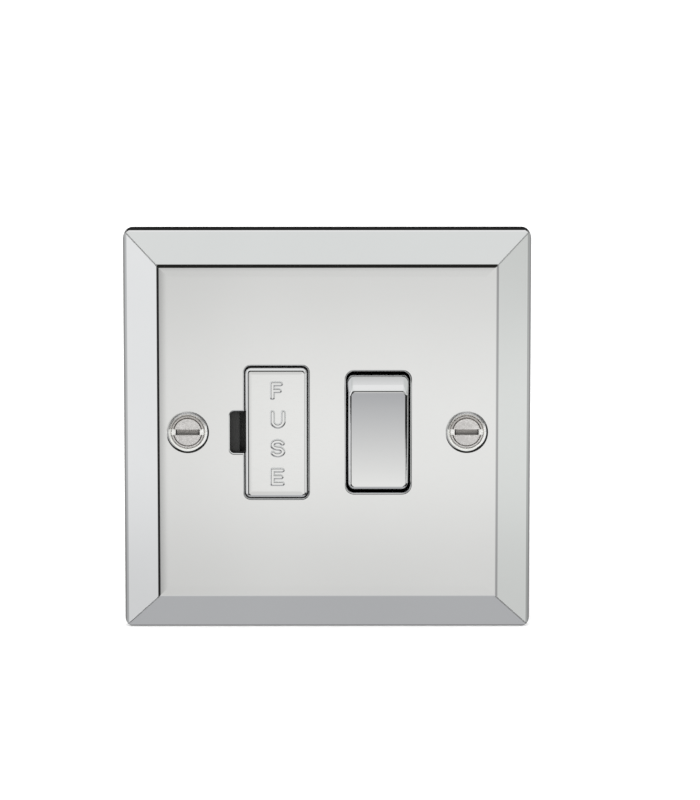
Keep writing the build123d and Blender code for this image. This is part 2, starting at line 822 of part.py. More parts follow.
with BuildPart() as fuse_end_caps:
    with BuildSketch(Plane.XY.offset(fuse_length / 2)):
        with Locations((fuse_x, fuse_y)):
            Circle(fuse_radius)
    extrude(amount=-fuse_cap_length)
    with BuildSketch(Plane.XY.offset(fuse_length / 2 - fuse_cap_end)):
        with Locations((fuse_x, fuse_y)):
            Circle(fuse_radius - fuse_cap_wall)
    extrude(amount=-fuse_cap_length, mode=Mode.SUBTRACT)
    fillet(fuse_end_caps.faces().sort_by(Axis.Z)[-1].edges(), radius=fuse_cap_edge_radius)
    mirror(about=Plane.XY)
finish(fuse_end_caps.part, "fuse_end_caps")


# Fuse clips
def fuse_clip(side):
    """Spring fork round one fuse cap, flared at its mouth, with a tail back to its bar."""
    blade_x = fuse_radius + clip_gap + clip_sheet / 2
    back_y = fuse_y + fuse_radius + clip_back_gap + clip_sheet / 2
    mouth_y = fuse_y - clip_blade_front
    low = side * clip_z - clip_width / 2
    with BuildPart() as clip:
        with BuildSketch(Plane.XY.offset(low)):
            with BuildLine():
                Polyline(
                    (fuse_x - blade_x - clip_flare, mouth_y - clip_flare_length),
                    (fuse_x - blade_x, mouth_y),
                    (fuse_x - blade_x, back_y),
                    (fuse_x + blade_x, back_y),
                    (fuse_x + blade_x, mouth_y),
                    (fuse_x + blade_x + clip_flare, mouth_y - clip_flare_length),
                )
            trace(line_width=clip_sheet)
        extrude(amount=clip_width)
        with BuildSketch(Plane.XY.offset(side * clip_z - bar / 2)):
            with Locations((fuse_x, (back_y + bar_b_front) / 2)):
                Rectangle(bar_width, bar_b_front - back_y)
        extrude(amount=bar)
    return clip.part


finish(fuse_clip(1), "fuse_clip_upper")
finish(fuse_clip(-1), "fuse_clip_lower")

# Fuse drawer: the moulded carrier and its plated cover
with BuildPart() as fuse_carrier:
    with BuildSketch(facing(cover_rear)):
        with Locations((fuse_x, 0)):
            RectangleRounded(carrier_width, carrier_height, carrier_corner_radius)
    extrude(amount=-carrier_slab)
    with BuildSketch(Plane.XY):
        with Locations((fuse_x, (carrier_rear + fuse_y - saddle_wrap) / 2)):
            Rectangle(saddle_width, fuse_y - saddle_wrap - carrier_rear)
        with Locations((fuse_x, fuse_y)):
            Circle(fuse_radius - fuse_cap_wall, mode=Mode.SUBTRACT)
    extrude(amount=saddle_length / 2, both=True)
    with BuildSketch(side_on(fuse_x)):
        with BuildLine():
            Polyline(
                (runner_z, carrier_rear),
                (carrier_height / 2, carrier_rear),
                (carrier_height / 2, hook_front),
                (carrier_height / 2 + hook_height, hook_front),
                (carrier_height / 2, hook_front + hook_length),
                (runner_z, hook_front + hook_length),
                close=True,
            )
        make_face()
    extrude(amount=runner_width / 2, both=True)
    mirror(about=Plane.XY)
finish(fuse_carrier.part, "fuse_carrier")

with BuildPart() as fuse_cover:
    with BuildSketch(facing(cover_rear)):
        with Locations((fuse_x, 0)):
            RectangleRounded(cover_width, cover_height, cover_radius)
    extrude(amount=cover_thickness)
    fillet(fuse_cover.faces().sort_by(Axis.Y)[0].edges(), radius=cover_edge_radius)
finish(fuse_cover.part, "fuse_cover")


# Terminals
def terminal(column, side):
    """Brass block with a blind wire hole from outside and a tapped hole from the back."""
    x = column * terminal_pitch
    with BuildPart() as block:
        with BuildSketch(facing(terminal_front)):
            with Locations((x, side * terminal_z)):
                RectangleRounded(terminal_width, terminal_height, terminal_edge_radius)
        extrude(amount=-terminal_depth)
        with BuildSketch(Plane.XY.offset(side * terminal_outer_z)):
            with Locations((x, wire_bore_y)):
                Circle(wire_bore_radius)
        extrude(amount=-side * wire_bore_depth, mode=Mode.SUBTRACT)
        with BuildSketch(facing(terminal_rear)):
            with Locations((x, side * terminal_screw_z)):
                Circle(terminal_screw_radius + running_fit)
        extrude(amount=terminal_rear - wire_bore_y, mode=Mode.SUBTRACT)
    return block.part


for row, side in (("supply", 1), ("load", -1)):
    for wire, column in (("live", -1), ("earth", 0), ("neutral", 1)):
        finish(terminal(column, side), f"terminal_{wire}_{row}")

with BuildPart() as terminal_screws:
    for radius, front, rear in (
        (terminal_screw_radius, wire_bore_y + wire_bore_radius + terminal_screw_clearance, terminal_rear),
        (terminal_head_radius, terminal_rear, terminal_rear + terminal_head_height),
    ):
        with BuildSketch(facing(front)):
            with GridLocations(terminal_pitch, 2 * terminal_screw_z, 3, 2):
                Circle(radius)
        extrude(amount=front - rear)
    with BuildSketch(facing(terminal_rear + terminal_head_height)):
        with GridLocations(terminal_pitch, 2 * terminal_screw_z, 3, 2):
            Rectangle(3 * terminal_head_radius, terminal_slot_width)
    extrude(amount=terminal_slot_depth, mode=Mode.SUBTRACT)
finish(terminal_screws.part, "terminal_screws")

# Rear housing
ear_outer_x = moulding_width / 2
ear_inner_x = housing_width / 2 - housing_wall
pocket_inner_z = terminal_inner_z - slot_fit
pocket_outer_z = housing_height / 2 + housing_wall
shoulder_inner_z = terminal_inner_z + housing_wall
shoulder_outer_z = housing_height / 2 - housing_wall
with BuildPart() as rear_housing:
    with BuildSketch(facing(moulding_rear)):
        RectangleRounded(housing_width, housing_height, housing_corner_radius)
    extrude(amount=moulding_rear - housing_rear)
    chamfer(rear_housing.faces().sort_by(Axis.Y)[-1].edges(), length=housing_rear_chamfer)
    with BuildSketch(facing(moulding_rear)):
        with GridLocations(ear_inner_x + ear_outer_x, 2 * stud_z, 2, 2):
            Rectangle(ear_outer_x - ear_inner_x, ear_height)
        with GridLocations(2 * stud_x, 2 * stud_z, 2, 2):
            Circle(stud_radius + hole_fit, mode=Mode.SUBTRACT)
    extrude(amount=-ear_thickness)
    # Fuse and switch chambers on either side of the partition
    with BuildSketch(facing(moulding_rear)):
        with Locations((fuse_x, 0)):
            Rectangle(fuse_chamber_width, 2 * chamber_half_height)
        with Locations((rocker_x, 0)):
            Rectangle(switch_chamber_width, 2 * chamber_half_height)
    extrude(amount=moulding_rear - chamber_rear, mode=Mode.SUBTRACT)
    # Hollow shoulders in front of the terminals
    with BuildSketch(facing(moulding_rear)):
        for side in (-1, 1):
            with Locations((0, side * (shoulder_inner_z + shoulder_outer_z) / 2)):
                Rectangle(housing_width - 2 * housing_wall, shoulder_outer_z - shoulder_inner_z)
    extrude(amount=moulding_rear - terminal_front + housing_wall, mode=Mode.SUBTRACT)
    # Terminal pockets, open to the back and to the top or bottom
    with BuildSketch(facing(housing_rear)):
        with GridLocations(terminal_pitch, pocket_inner_z + pocket_outer_z, 3, 2):
            Rectangle(terminal_width + 2 * hole_fit, pocket_outer_z - pocket_inner_z)
    extrude(amount=housing_rear - terminal_front, mode=Mode.SUBTRACT)
    # Slots for the bars through the walls and the partition
    for front, outlines in (
        (bar_a_front, (live_supply_outline, neutral_supply_outline)),
        (bar_b_front, (live_bridge_outline, live_load_outline, neutral_load_outline)),
    ):
        with BuildSketch(facing(front - slot_fit)):
            for outline in outlines:
                outline()
            offset(amount=slot_fit, kind=Kind.INTERSECTION)
        extrude(amount=-bar - 2 * slot_fit, mode=Mode.SUBTRACT)
    # Groove in the back for the earth strap, and the slot for its riser
    strap_half = strap_width / 2 + slot_fit
    with BuildSketch(facing(housing_rear)):
        strip(strap_x - strap_half, strap_x + strap_half, -terminal_inner_z, terminal_inner_z)
    extrude(amount=housing_rear - strap_front, mode=Mode.SUBTRACT)
    with BuildSketch(facing(moulding_rear)):
        riser_low, riser_high = strap_riser_z - slot_fit, strap_riser_z + bar + slot_fit
        strip(strap_x - strap_half, strap_x + strap_half, riser_low, riser_high)
    extrude(amount=moulding_rear - strap_front, mode=Mode.SUBTRACT)
    # Recessed panels in the back, with a rib across each
    panel_outer_x = housing_width / 2 - housing_wall
    panel_outer_z = pocket_inner_z - housing_wall
    with BuildSketch(facing(housing_rear)):
        for panel_inner_x, outer_x in (
            (strap_x - strap_half - housing_wall, -panel_outer_x),
            (strap_x + strap_half + housing_wall, panel_outer_x),
        ):
            for side in (-1, 1):
                strip(panel_inner_x, outer_x, side * back_rib / 2, side * panel_outer_z)
    extrude(amount=panel_recess, mode=Mode.SUBTRACT)
finish(rear_housing.part, "rear_housing")
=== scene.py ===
"""Looks of the switched fused connection unit: finishes, lettering, threads, studio and camera.

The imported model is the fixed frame. Its solids get finishes here, and modifiers soften the edges of a
few. Pieces whose fine form is left to this file (screws, studs, nuts, springs and the raised word) are
numpy surfaces. Sizes in the classes are millimetres where a name says so; meshes are written in metres,
in the frame of the solids.
"""

import json
import logging
import math
from dataclasses import dataclass
from enum import Enum
from functools import reduce
from typing import Optional, Sequence

import bmesh
import bpy
import numpy as np
from mathutils import Matrix, Vector


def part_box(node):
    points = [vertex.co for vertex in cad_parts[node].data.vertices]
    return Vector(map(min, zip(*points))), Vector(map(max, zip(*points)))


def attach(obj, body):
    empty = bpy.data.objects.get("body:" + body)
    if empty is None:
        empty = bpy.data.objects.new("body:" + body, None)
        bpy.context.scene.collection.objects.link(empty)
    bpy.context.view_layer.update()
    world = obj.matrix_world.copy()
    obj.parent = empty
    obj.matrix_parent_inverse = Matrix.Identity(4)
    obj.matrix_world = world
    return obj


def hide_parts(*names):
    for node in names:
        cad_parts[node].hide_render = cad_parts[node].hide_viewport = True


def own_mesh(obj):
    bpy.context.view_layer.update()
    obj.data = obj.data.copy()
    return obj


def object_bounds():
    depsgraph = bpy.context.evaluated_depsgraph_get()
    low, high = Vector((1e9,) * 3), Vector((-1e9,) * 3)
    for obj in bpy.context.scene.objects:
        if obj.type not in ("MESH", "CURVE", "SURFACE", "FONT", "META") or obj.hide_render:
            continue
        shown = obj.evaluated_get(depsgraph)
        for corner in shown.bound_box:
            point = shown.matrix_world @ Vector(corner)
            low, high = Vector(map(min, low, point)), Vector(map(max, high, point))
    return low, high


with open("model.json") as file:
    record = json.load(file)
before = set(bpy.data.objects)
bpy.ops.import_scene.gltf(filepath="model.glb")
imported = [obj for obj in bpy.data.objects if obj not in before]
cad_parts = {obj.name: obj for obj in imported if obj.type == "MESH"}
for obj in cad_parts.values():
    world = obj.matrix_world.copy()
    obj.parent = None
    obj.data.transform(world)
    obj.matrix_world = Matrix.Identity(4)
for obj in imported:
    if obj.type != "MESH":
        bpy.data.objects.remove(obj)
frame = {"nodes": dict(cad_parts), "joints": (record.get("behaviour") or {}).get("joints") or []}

LOG = logging.getLogger("fused_unit")
CAD_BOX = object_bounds()
MM = 0.001
TURN = 2.0 * math.pi
Socket = bpy.types.NodeSocket
Pair = tuple[float, float]
Triple = tuple[float, float, float]


class Body(str, Enum):
    """Bodies of the frame that new pieces ride on."""

    UNIT = "unit"
    ROCKER = "rocker"
    DRAWER = "fuse_drawer"


class Pole(str, Enum):
    """The two poles that the rocker switches."""

    LIVE = "live"
    NEUTRAL = "neutral"


class Edge(str, Enum):
    """How a factor runs from one end of its range to the other, as a Map Range node names it."""

    SMOOTH = "SMOOTHSTEP"
    STRAIGHT = "LINEAR"


class Lay(str, Enum):
    """How a colour meets what lies behind it, as a Mix node names it."""

    COVER = "MIX"
    SHADE = "MULTIPLY"


# Geometry helpers


def smoothstep(values: np.ndarray) -> np.ndarray:
    """Ease from 0 to 1: 3t^2 - 2t^3 of the values clipped to that range.

    Args:
        values: Any array.

    Returns:
        An array of the same shape.
    """
    t = np.clip(values, 0.0, 1.0)
    return t * t * (3.0 - 2.0 * t)


def ring_points(radius: np.ndarray, depth: np.ndarray, angle: np.ndarray) -> np.ndarray:
    """Points about the Y axis: x = r cos(a), y = depth, z = r sin(a).

    Args:
        radius: Distances from the axis.
        depth: Places along the axis.
        angle: Angles about the axis, in radians.

    Returns:
        An array with a last axis of three, in the shape the inputs broadcast to.
    """
    radius, depth, angle = np.broadcast_arrays(radius, depth, angle)
    return np.stack((radius * np.cos(angle), depth, radius * np.sin(angle)), axis=-1)


def grid_faces(index: np.ndarray) -> np.ndarray:
    """Corner numbers of the four-sided faces between neighbouring points of a grid.

    Args:
        index: The points' numbers, rows by columns.

    Returns:
        Four corners for each cell, rows by columns by four.
    """
    return np.stack((index[:-1, :-1], index[:-1, 1:], index[1:, 1:], index[1:, :-1]), axis=-1)


class SurfaceMesh:
    """Collects grids of points and joins them into one closed mesh object."""

    SEAM_M = 1e-7
    SLIVER_M = 1e-8

    def __init__(self, name: str) -> None:
        """Start an empty surface with the name of its piece."""
        self.name = name
        self._points: list[np.ndarray] = []
        self._faces: list[np.ndarray] = []
        self._count = 0

    def add_grid(self, grid: np.ndarray, wrap: bool = False) -> None:
        """Add a grid of points, joined into four-sided faces.

        Args:
            grid: Points in millimetres, rows by columns by three.
            wrap: True where the last column meets the first.
        """
        rows, columns = grid.shape[:2]
        index = np.arange(rows * columns).reshape(rows, columns)
        if wrap:
            index = np.concatenate((index, index[:, :1]), axis=1)
        self.add_faces(grid.reshape(-1, 3), grid_faces(index).reshape(-1, 4))

    def add_faces(self, points: np.ndarray, faces: np.ndarray) -> None:
        """Add loose points and the faces between them.

        Args:
            points: Points in millimetres, one to a row.
            faces: Corner numbers, four to a row.
        """
        self._points.append(points * MM)
        self._faces.append(faces + self._count)
        self._count += len(points)

    def build(self, sharp_deg: float = 35.0) -> bpy.types.Object:
        """Join everything, merge the seams and poles and point the faces outwards.

        Args:
            sharp_deg: Edges that turn by more than this angle stay sharp.

        Returns:
            The new object, at the origin and linked to the scene.
        """
        mesh = bpy.data.meshes.new(self.name)
        points = np.concatenate(self._points)
        faces = np.concatenate(self._faces)
        mesh.from_pydata(points.tolist(), [], faces.tolist())
        work = bmesh.new()
        work.from_mesh(mesh)
        bmesh.ops.remove_doubles(work, verts=work.verts, dist=self.SEAM_M)
        bmesh.ops.dissolve_degenerate(work, edges=work.edges, dist=self.SLIVER_M)
        bmesh.ops.recalc_face_normals(work, faces=work.faces)
        work.to_mesh(mesh)
        work.free()
        mesh.polygons.foreach_set("use_smooth", np.ones(len(mesh.polygons), dtype=bool))
        mesh.set_sharp_from_angle(angle=math.radians(sharp_deg))
        piece = bpy.data.objects.new(self.name, mesh)
        bpy.context.scene.collection.objects.link(piece)
        return piece


def settle(piece: bpy.types.Object, finish: bpy.types.Material, body: Body,
           stands_for: Sequence[str] = ()) -> bpy.types.Object:
    """Dress a new piece and tie it to the frame.

    Args:
        piece: The piece's object.
        finish: Its material.
        body: The body that it rides on.
        stands_for: Solids that it is shown in place of.

    Returns:
        The same object.
    """
    piece.data.materials.append(finish)
    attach(piece, body.value)
    if stands_for:
        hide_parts(*stands_for)
    LOG.info("%s rides on %s with %d faces", piece.name, body.value, len(piece.data.polygons))
    return piece


# Finishes


class NodeSheet:
    """A node tree with short calls, so that a finish or the tent reads as a recipe."""

    def __init__(self, tree: bpy.types.NodeTree) -> None:
        """Take the tree that the calls add to."""
        self.tree = tree

    def add(self, kind: str) -> bpy.types.Node:
        """Add a node of a kind."""
        return self.tree.nodes.new(kind)

    def feed(self, socket: Socket, value: object) -> None:
        """Join a socket to a socket, or set it to a colour or a number."""
        if isinstance(value, Socket):
            self.tree.links.new(value, socket)
        elif isinstance(value, tuple):
            socket.default_value = (*value, 1.0)
        else:
            socket.default_value = value

    def math(self, operation: str, *inputs: object) -> Socket:
        """Add a Math node.

        Args:
            operation: The node's operation.
            inputs: Numbers or sockets, in the node's order.

        Returns:
            The node's output.
        """
        node = self.add("ShaderNodeMath")
        node.operation = operation
        for socket, value in zip(node.inputs, inputs):
            self.feed(socket, value)
        return node.outputs[0]

    def overlap(self, *masks: object) -> Socket:
        """Mask of where all the masks hold: their product."""
        return reduce(lambda first, second: self.math("MULTIPLY", first, second), masks)

    def split(self, vector: Socket) -> Sequence[Socket]:
        """Split a vector into its three parts."""
        node = self.add("ShaderNodeSeparateXYZ")
        self.feed(node.inputs[0], vector)
        return node.outputs

    def span(self, value: Socket, low: float, high: float, start: float = 0.3, end: float = 0.7,
             edge: Edge = Edge.STRAIGHT) -> Socket:
        """Map a factor between start and end to numbers between low and high, and clip it there."""
        node = self.add("ShaderNodeMapRange")
        node.interpolation_type = edge.value
        self.feed(node.inputs["Value"], value)
        for name, number in (("From Min", start), ("From Max", end), ("To Min", low), ("To Max", high)):
            self.feed(node.inputs[name], number)
        return node.outputs["Result"]

    def rise(self, value: Socket, start_mm: float, end_mm: float, high: float = 1.0) -> Socket:
        """Mask of a length, which rises from 0 at the start to its height at the end."""
        return self.span(value, 0.0, high, start_mm * MM, end_mm * MM)

    def fall(self, value: Socket, start_mm: float, end_mm: float) -> Socket:
        """Mask of a length, which falls from 1 at the start to 0 at the end."""
        return self.span(value, 1.0, 0.0, start_mm * MM, end_mm * MM)

    def mix(self, factor: object, below: object, above: object, lay: Lay = Lay.COVER) -> Socket:
        """Mix two colours, each a socket or three numbers, by a factor."""
        node = self.add("ShaderNodeMixRGB")
        node.blend_type = lay.value
        for name, value in (("Fac", factor), ("Color1", below), ("Color2", above)):
            self.feed(node.inputs[name], value)
        return node.outputs["Color"]


class Bench(NodeSheet):
    """A material's node tree, with the calls that need its shader or its place on the piece."""

    def __init__(self, name: str) -> None:
        """Start a material with one Principled shader."""
        self.material = bpy.data.materials.new(name)
        self.material.use_nodes = True
        super().__init__(self.material.node_tree)
        self.shader = next(n for n in self.tree.nodes if n.type == "BSDF_PRINCIPLED")
        self.place = self.add("ShaderNodeTexCoord").outputs["Object"]

    def set(self, **values: object) -> None:
        """Set the shader's own sockets; an underscore in a name stands for a space."""
        for name, value in values.items():
            self.shader.inputs[name.replace("_", " ")].default_value = value

    def join(self, source: Socket, target: str) -> None:
        """Join an output to one of the shader's sockets."""
        self.feed(self.shader.inputs[target], source)

    def noise(self, size_mm: float, detail: float, along: Triple = (1.0, 1.0, 1.0)) -> Socket:
        """Noise from 0 to 1.

        Args:
            size_mm: Size of its largest patches.
            detail: Number of finer octaves.
            along: Factors that squeeze it along each axis.

        Returns:
            The noise's factor output.
        """
        stretch = self.add("ShaderNodeMapping")
        stretch.inputs["Scale"].default_value = along
        self.feed(stretch.inputs["Vector"], self.place)
        node = self.add("ShaderNodeTexNoise")
        self.feed(node.inputs["Scale"], 1.0 / (size_mm * MM))
        self.feed(node.inputs["Detail"], detail)
        self.feed(node.inputs["Vector"], stretch.outputs["Vector"])
        return node.outputs["Fac"]

    def from_pair(self, centre_mm: float) -> tuple[Socket, Socket]:
        """Place against the nearer of two axes along Y, one on each side of the unit's middle.

        Args:
            centre_mm: Distance of the axes from the middle.

        Returns:
            How far across from that axis a point lies, and its distance from the axis.
        """
        x, _, z = self.split(self.place)
        aside = self.math("SUBTRACT", self.math("ABSOLUTE", x), centre_mm * MM)
        squares = (self.math("MULTIPLY", part, part) for part in (aside, z))
        return aside, self.math("SQRT", self.math("ADD", *squares))

    def tint(self, value: Socket, dark: Triple, light: Triple, start: float = 0.3, end: float = 0.7) -> None:
        """Colour the shader between two tones by a factor."""
        ramp = self.add("ShaderNodeValToRGB")
        for element, place, tone in zip(ramp.color_ramp.elements, (start, end), (dark, light)):
            element.position = place
            element.color = (*tone, 1.0)
        self.feed(ramp.inputs["Fac"], value)
        self.join(ramp.outputs["Color"], "Base Color")

    def shade(self, mask: Socket, tone: Triple) -> None:
        """Turn the base colour to a tone where a mask is 1; it follows a call of tint."""
        colour = self.shader.inputs["Base Color"].links[0].from_socket
        self.join(self.mix(mask, colour, tone), "Base Color")

    def relief(self, height: Socket, distance_mm: float) -> None:
        """Raise the surface by a height; further calls add to the first."""
        node = self.add("ShaderNodeBump")
        self.feed(node.inputs["Strength"], 1.0)
        self.feed(node.inputs["Distance"], distance_mm * MM)
        self.feed(node.inputs["Height"], height)
        normal = self.shader.inputs["Normal"]
        if normal.is_linked:
            self.feed(node.inputs["Normal"], normal.links[0].from_socket)
        self.join(node.outputs["Normal"], "Normal")


@dataclass(frozen=True)
class ChromePlating:
    """Bright chromium: a mirror with faint waves and a fine polishing haze."""

    name: str
    tone: Triple = (0.787, 0.789, 0.792)
    cloud_mm: float = 40.0
    cloud_tone: float = 0.97
    haze: Pair = (0.02, 0.05)
    haze_mm: float = 1.6
    haze_along: Triple = (1.0, 1.0, 6.0)
    wave_mm: float = 26.0
    wave_height_mm: float = 0.0015
    face_mm: Optional[tuple[float, float, float, float]] = None
    pillow_run_mm: float = 2.5
    pillow_tilt_deg: float = 1.2
    crease_mm: float = 0.0
    mitre_mm: float = 0.2
    mitre_blur: float = 1.6
    mitre_haze: float = 0.34
    side_mm: float = 0.0
    rim_mm: float = 0.86
    rim_shares: Pair = (0.1, 0.5)
    rim_shade_tone: Triple = (0.47, 0.475, 0.48)
    screws: Optional["FixingScrews"] = None
    dimple_mm: float = 4.7
    dimple_blur_mm: float = 0.2
    dimple_haze: float = 0.2
    dimple_light_tone: Triple = (0.82, 0.812, 0.785)
    dimple_gleam: float = 0.66
    upper_share: float = 1.0 / 3.0
    cone_mm: float = 4.2
    lip_light_share: float = 0.45
    word: Optional["FuseLettering"] = None
    word_shares: Pair = (0.04, 0.16)
    word_haze: float = 0.26

    def build(self) -> bpy.types.Material:
        """Make the material; a pressed plate has a curl at its crease and soft mitres, with painted shade on
        its rim and painted light in its dimples.
        """
        bench = Bench(self.name)
        bench.set(Metallic=1.0, IOR=2.9)
        dark = tuple(self.cloud_tone * part for part in self.tone)
        bench.tint(bench.noise(self.cloud_mm, detail=3.0), dark, self.tone)
        haze = bench.span(bench.noise(self.haze_mm, detail=4.0, along=self.haze_along), *self.haze)
        bench.relief(bench.noise(self.wave_mm, detail=1.0), self.wave_height_mm)
        if self.face_mm:
            bench.relief(self._curl(bench), distance_mm=1.0 / MM)
        if self.crease_mm:
            haze = bench.math("MULTIPLY_ADD", self._mitres(bench), self.mitre_haze, haze)
            # Painted shade: the rounded edge down both sides is darkened, standing in for dark reflections.
            bench.shade(self._rim_shade_mask(bench), self.rim_shade_tone)
        if self.screws:
            upper, pale_light = self._dimples(bench)
            haze = bench.math("MULTIPLY_ADD", upper, self.dimple_haze, haze)
            # Painted light: the dimples' cones and a share of their upper halves are paler and less
            # metallic.
            bench.shade(pale_light, self.dimple_light_tone)
            bench.join(bench.span(pale_light, 1.0, self.dimple_gleam), "Metallic")
        if self.word:
            haze = bench.math("MULTIPLY_ADD", self._slopes(bench), self.word_haze, haze)
        bench.join(haze, "Roughness")
        return bench.material

    def _slopes(self, bench: Bench) -> Socket:
        """Mask of what lies below the tops of the raised letters, where the polish is softer."""
        top = self.word.face_mm - self.word.raise_mm
        start, end = (top + share * self.word.raise_mm for share in self.word_shares)
        return bench.rise(bench.split(bench.place)[1], start, end)

    def _dimples(self, bench: Bench) -> tuple[Socket, Socket]:
        """Masks of the dimples' upper halves, and of where painted light makes them paler: their cones and a
        share of the upper halves.
        """
        z = bench.split(bench.place)[2]
        _, reach = bench.from_pair(self.screws.centre_mm)
        inside, cone = (
            bench.fall(reach, size - self.dimple_blur_mm, size) for size in (self.dimple_mm, self.cone_mm)
        )
        upper = bench.overlap(inside, bench.rise(z, 0.0, self.upper_share * self.dimple_mm))
        return upper, bench.math("MAXIMUM", bench.overlap(upper, self.lip_light_share), cone)

    def _mitres(self, bench: Bench) -> Socket:
        """Mask of the lines where two sloping sides meet: as far across as up, and past the crease."""
        x, _, z = (bench.math("ABSOLUTE", part) for part in bench.split(bench.place))
        off = bench.math("ABSOLUTE", bench.math("SUBTRACT", x, z))
        near = bench.fall(off, self.mitre_mm, self.mitre_blur * self.mitre_mm)
        reach = bench.math("MAXIMUM", x, z)
        return bench.overlap(near, bench.rise(reach, self.crease_mm, self.crease_mm + self.mitre_mm))

    def _rim_shade_mask(self, bench: Bench) -> Socket:
        """Mask of the painted shade on the rounded edge down both sides, from where the slope ends to the
        edge itself.
        """
        x = bench.math("ABSOLUTE", bench.split(bench.place)[0])
        start = self.side_mm - self.rim_mm
        full, fading = (start + share * self.rim_mm for share in self.rim_shares)
        return bench.overlap(bench.rise(x, start, full), bench.fall(x, fading, self.side_mm))

    def _curl(self, bench: Bench) -> Socket:
        """Height that falls as the square of how far a point is into the run at the face's sides.

        The fall over the whole run is half the tilt times the run, so that the slope there is the tilt.

        Args:
            bench: The material's bench.

        Returns:
            The height in metres.
        """
        x, _, z = bench.split(bench.place)
        middle_x, middle_z, half_x, half_z = self.face_mm
        into = []
        for place, middle, half in ((x, middle_x, half_x), (z, middle_z, half_z)):
            off = bench.math("ABSOLUTE", bench.math("SUBTRACT", place, middle * MM))
            into.append(bench.rise(off, half - self.pillow_run_mm, half))
        drop = -0.5 * math.radians(self.pillow_tilt_deg) * self.pillow_run_mm * MM
        return bench.math("MULTIPLY", bench.math("POWER", bench.math("MAXIMUM", *into), 2.0), drop)


@dataclass(frozen=True)
class MouldedPlastic:
    """Thermoset moulding: dark, with a fine spark-eroded grain and faint flow marks."""

    name: str
    dark: Triple
    light: Triple
    gloss: Pair = (0.38, 0.52)
    gloss_mm: float = 3.0
    grain_mm: float = 0.22
    grain_height_mm: float = 0.006
    flow_mm: float = 9.0
    flow_along: Triple = (1.0, 1.0, 0.35)

    def build(self) -> bpy.types.Material:
        """Make the material."""
        bench = Bench(self.name)
        bench.set(IOR=1.5)
        bench.tint(bench.noise(self.flow_mm, detail=4.0, along=self.flow_along), self.dark, self.light)
        bench.join(bench.span(bench.noise(self.gloss_mm, detail=3.0), *self.gloss), "Roughness")
        bench.relief(bench.noise(self.grain_mm, detail=3.0), self.grain_height_mm)
        return bench.material


@dataclass(frozen=True)
class RolledMetal:
    """Metal from rolled strip, bar or wire: fine lines along one axis and slight tarnish."""

    name: str
    dark: Triple
    light: Triple
    gloss: Pair = (0.2, 0.36)
    along: Triple = (1.0, 1.0, 0.05)
    tarnish_mm: float = 5.0
    gloss_mm: float = 2.2
    line_mm: float = 0.25
    line_height_mm: float = 0.002

    def build(self) -> bpy.types.Material:
        """Make the material."""
        bench = Bench(self.name)
        bench.set(Metallic=1.0)
        bench.tint(bench.noise(self.tarnish_mm, detail=5.0), self.dark, self.light)
        bench.join(bench.span(bench.noise(self.gloss_mm, detail=4.0), *self.gloss), "Roughness")
        bench.relief(bench.noise(self.line_mm, detail=2.0, along=self.along), self.line_height_mm)
        return bench.material


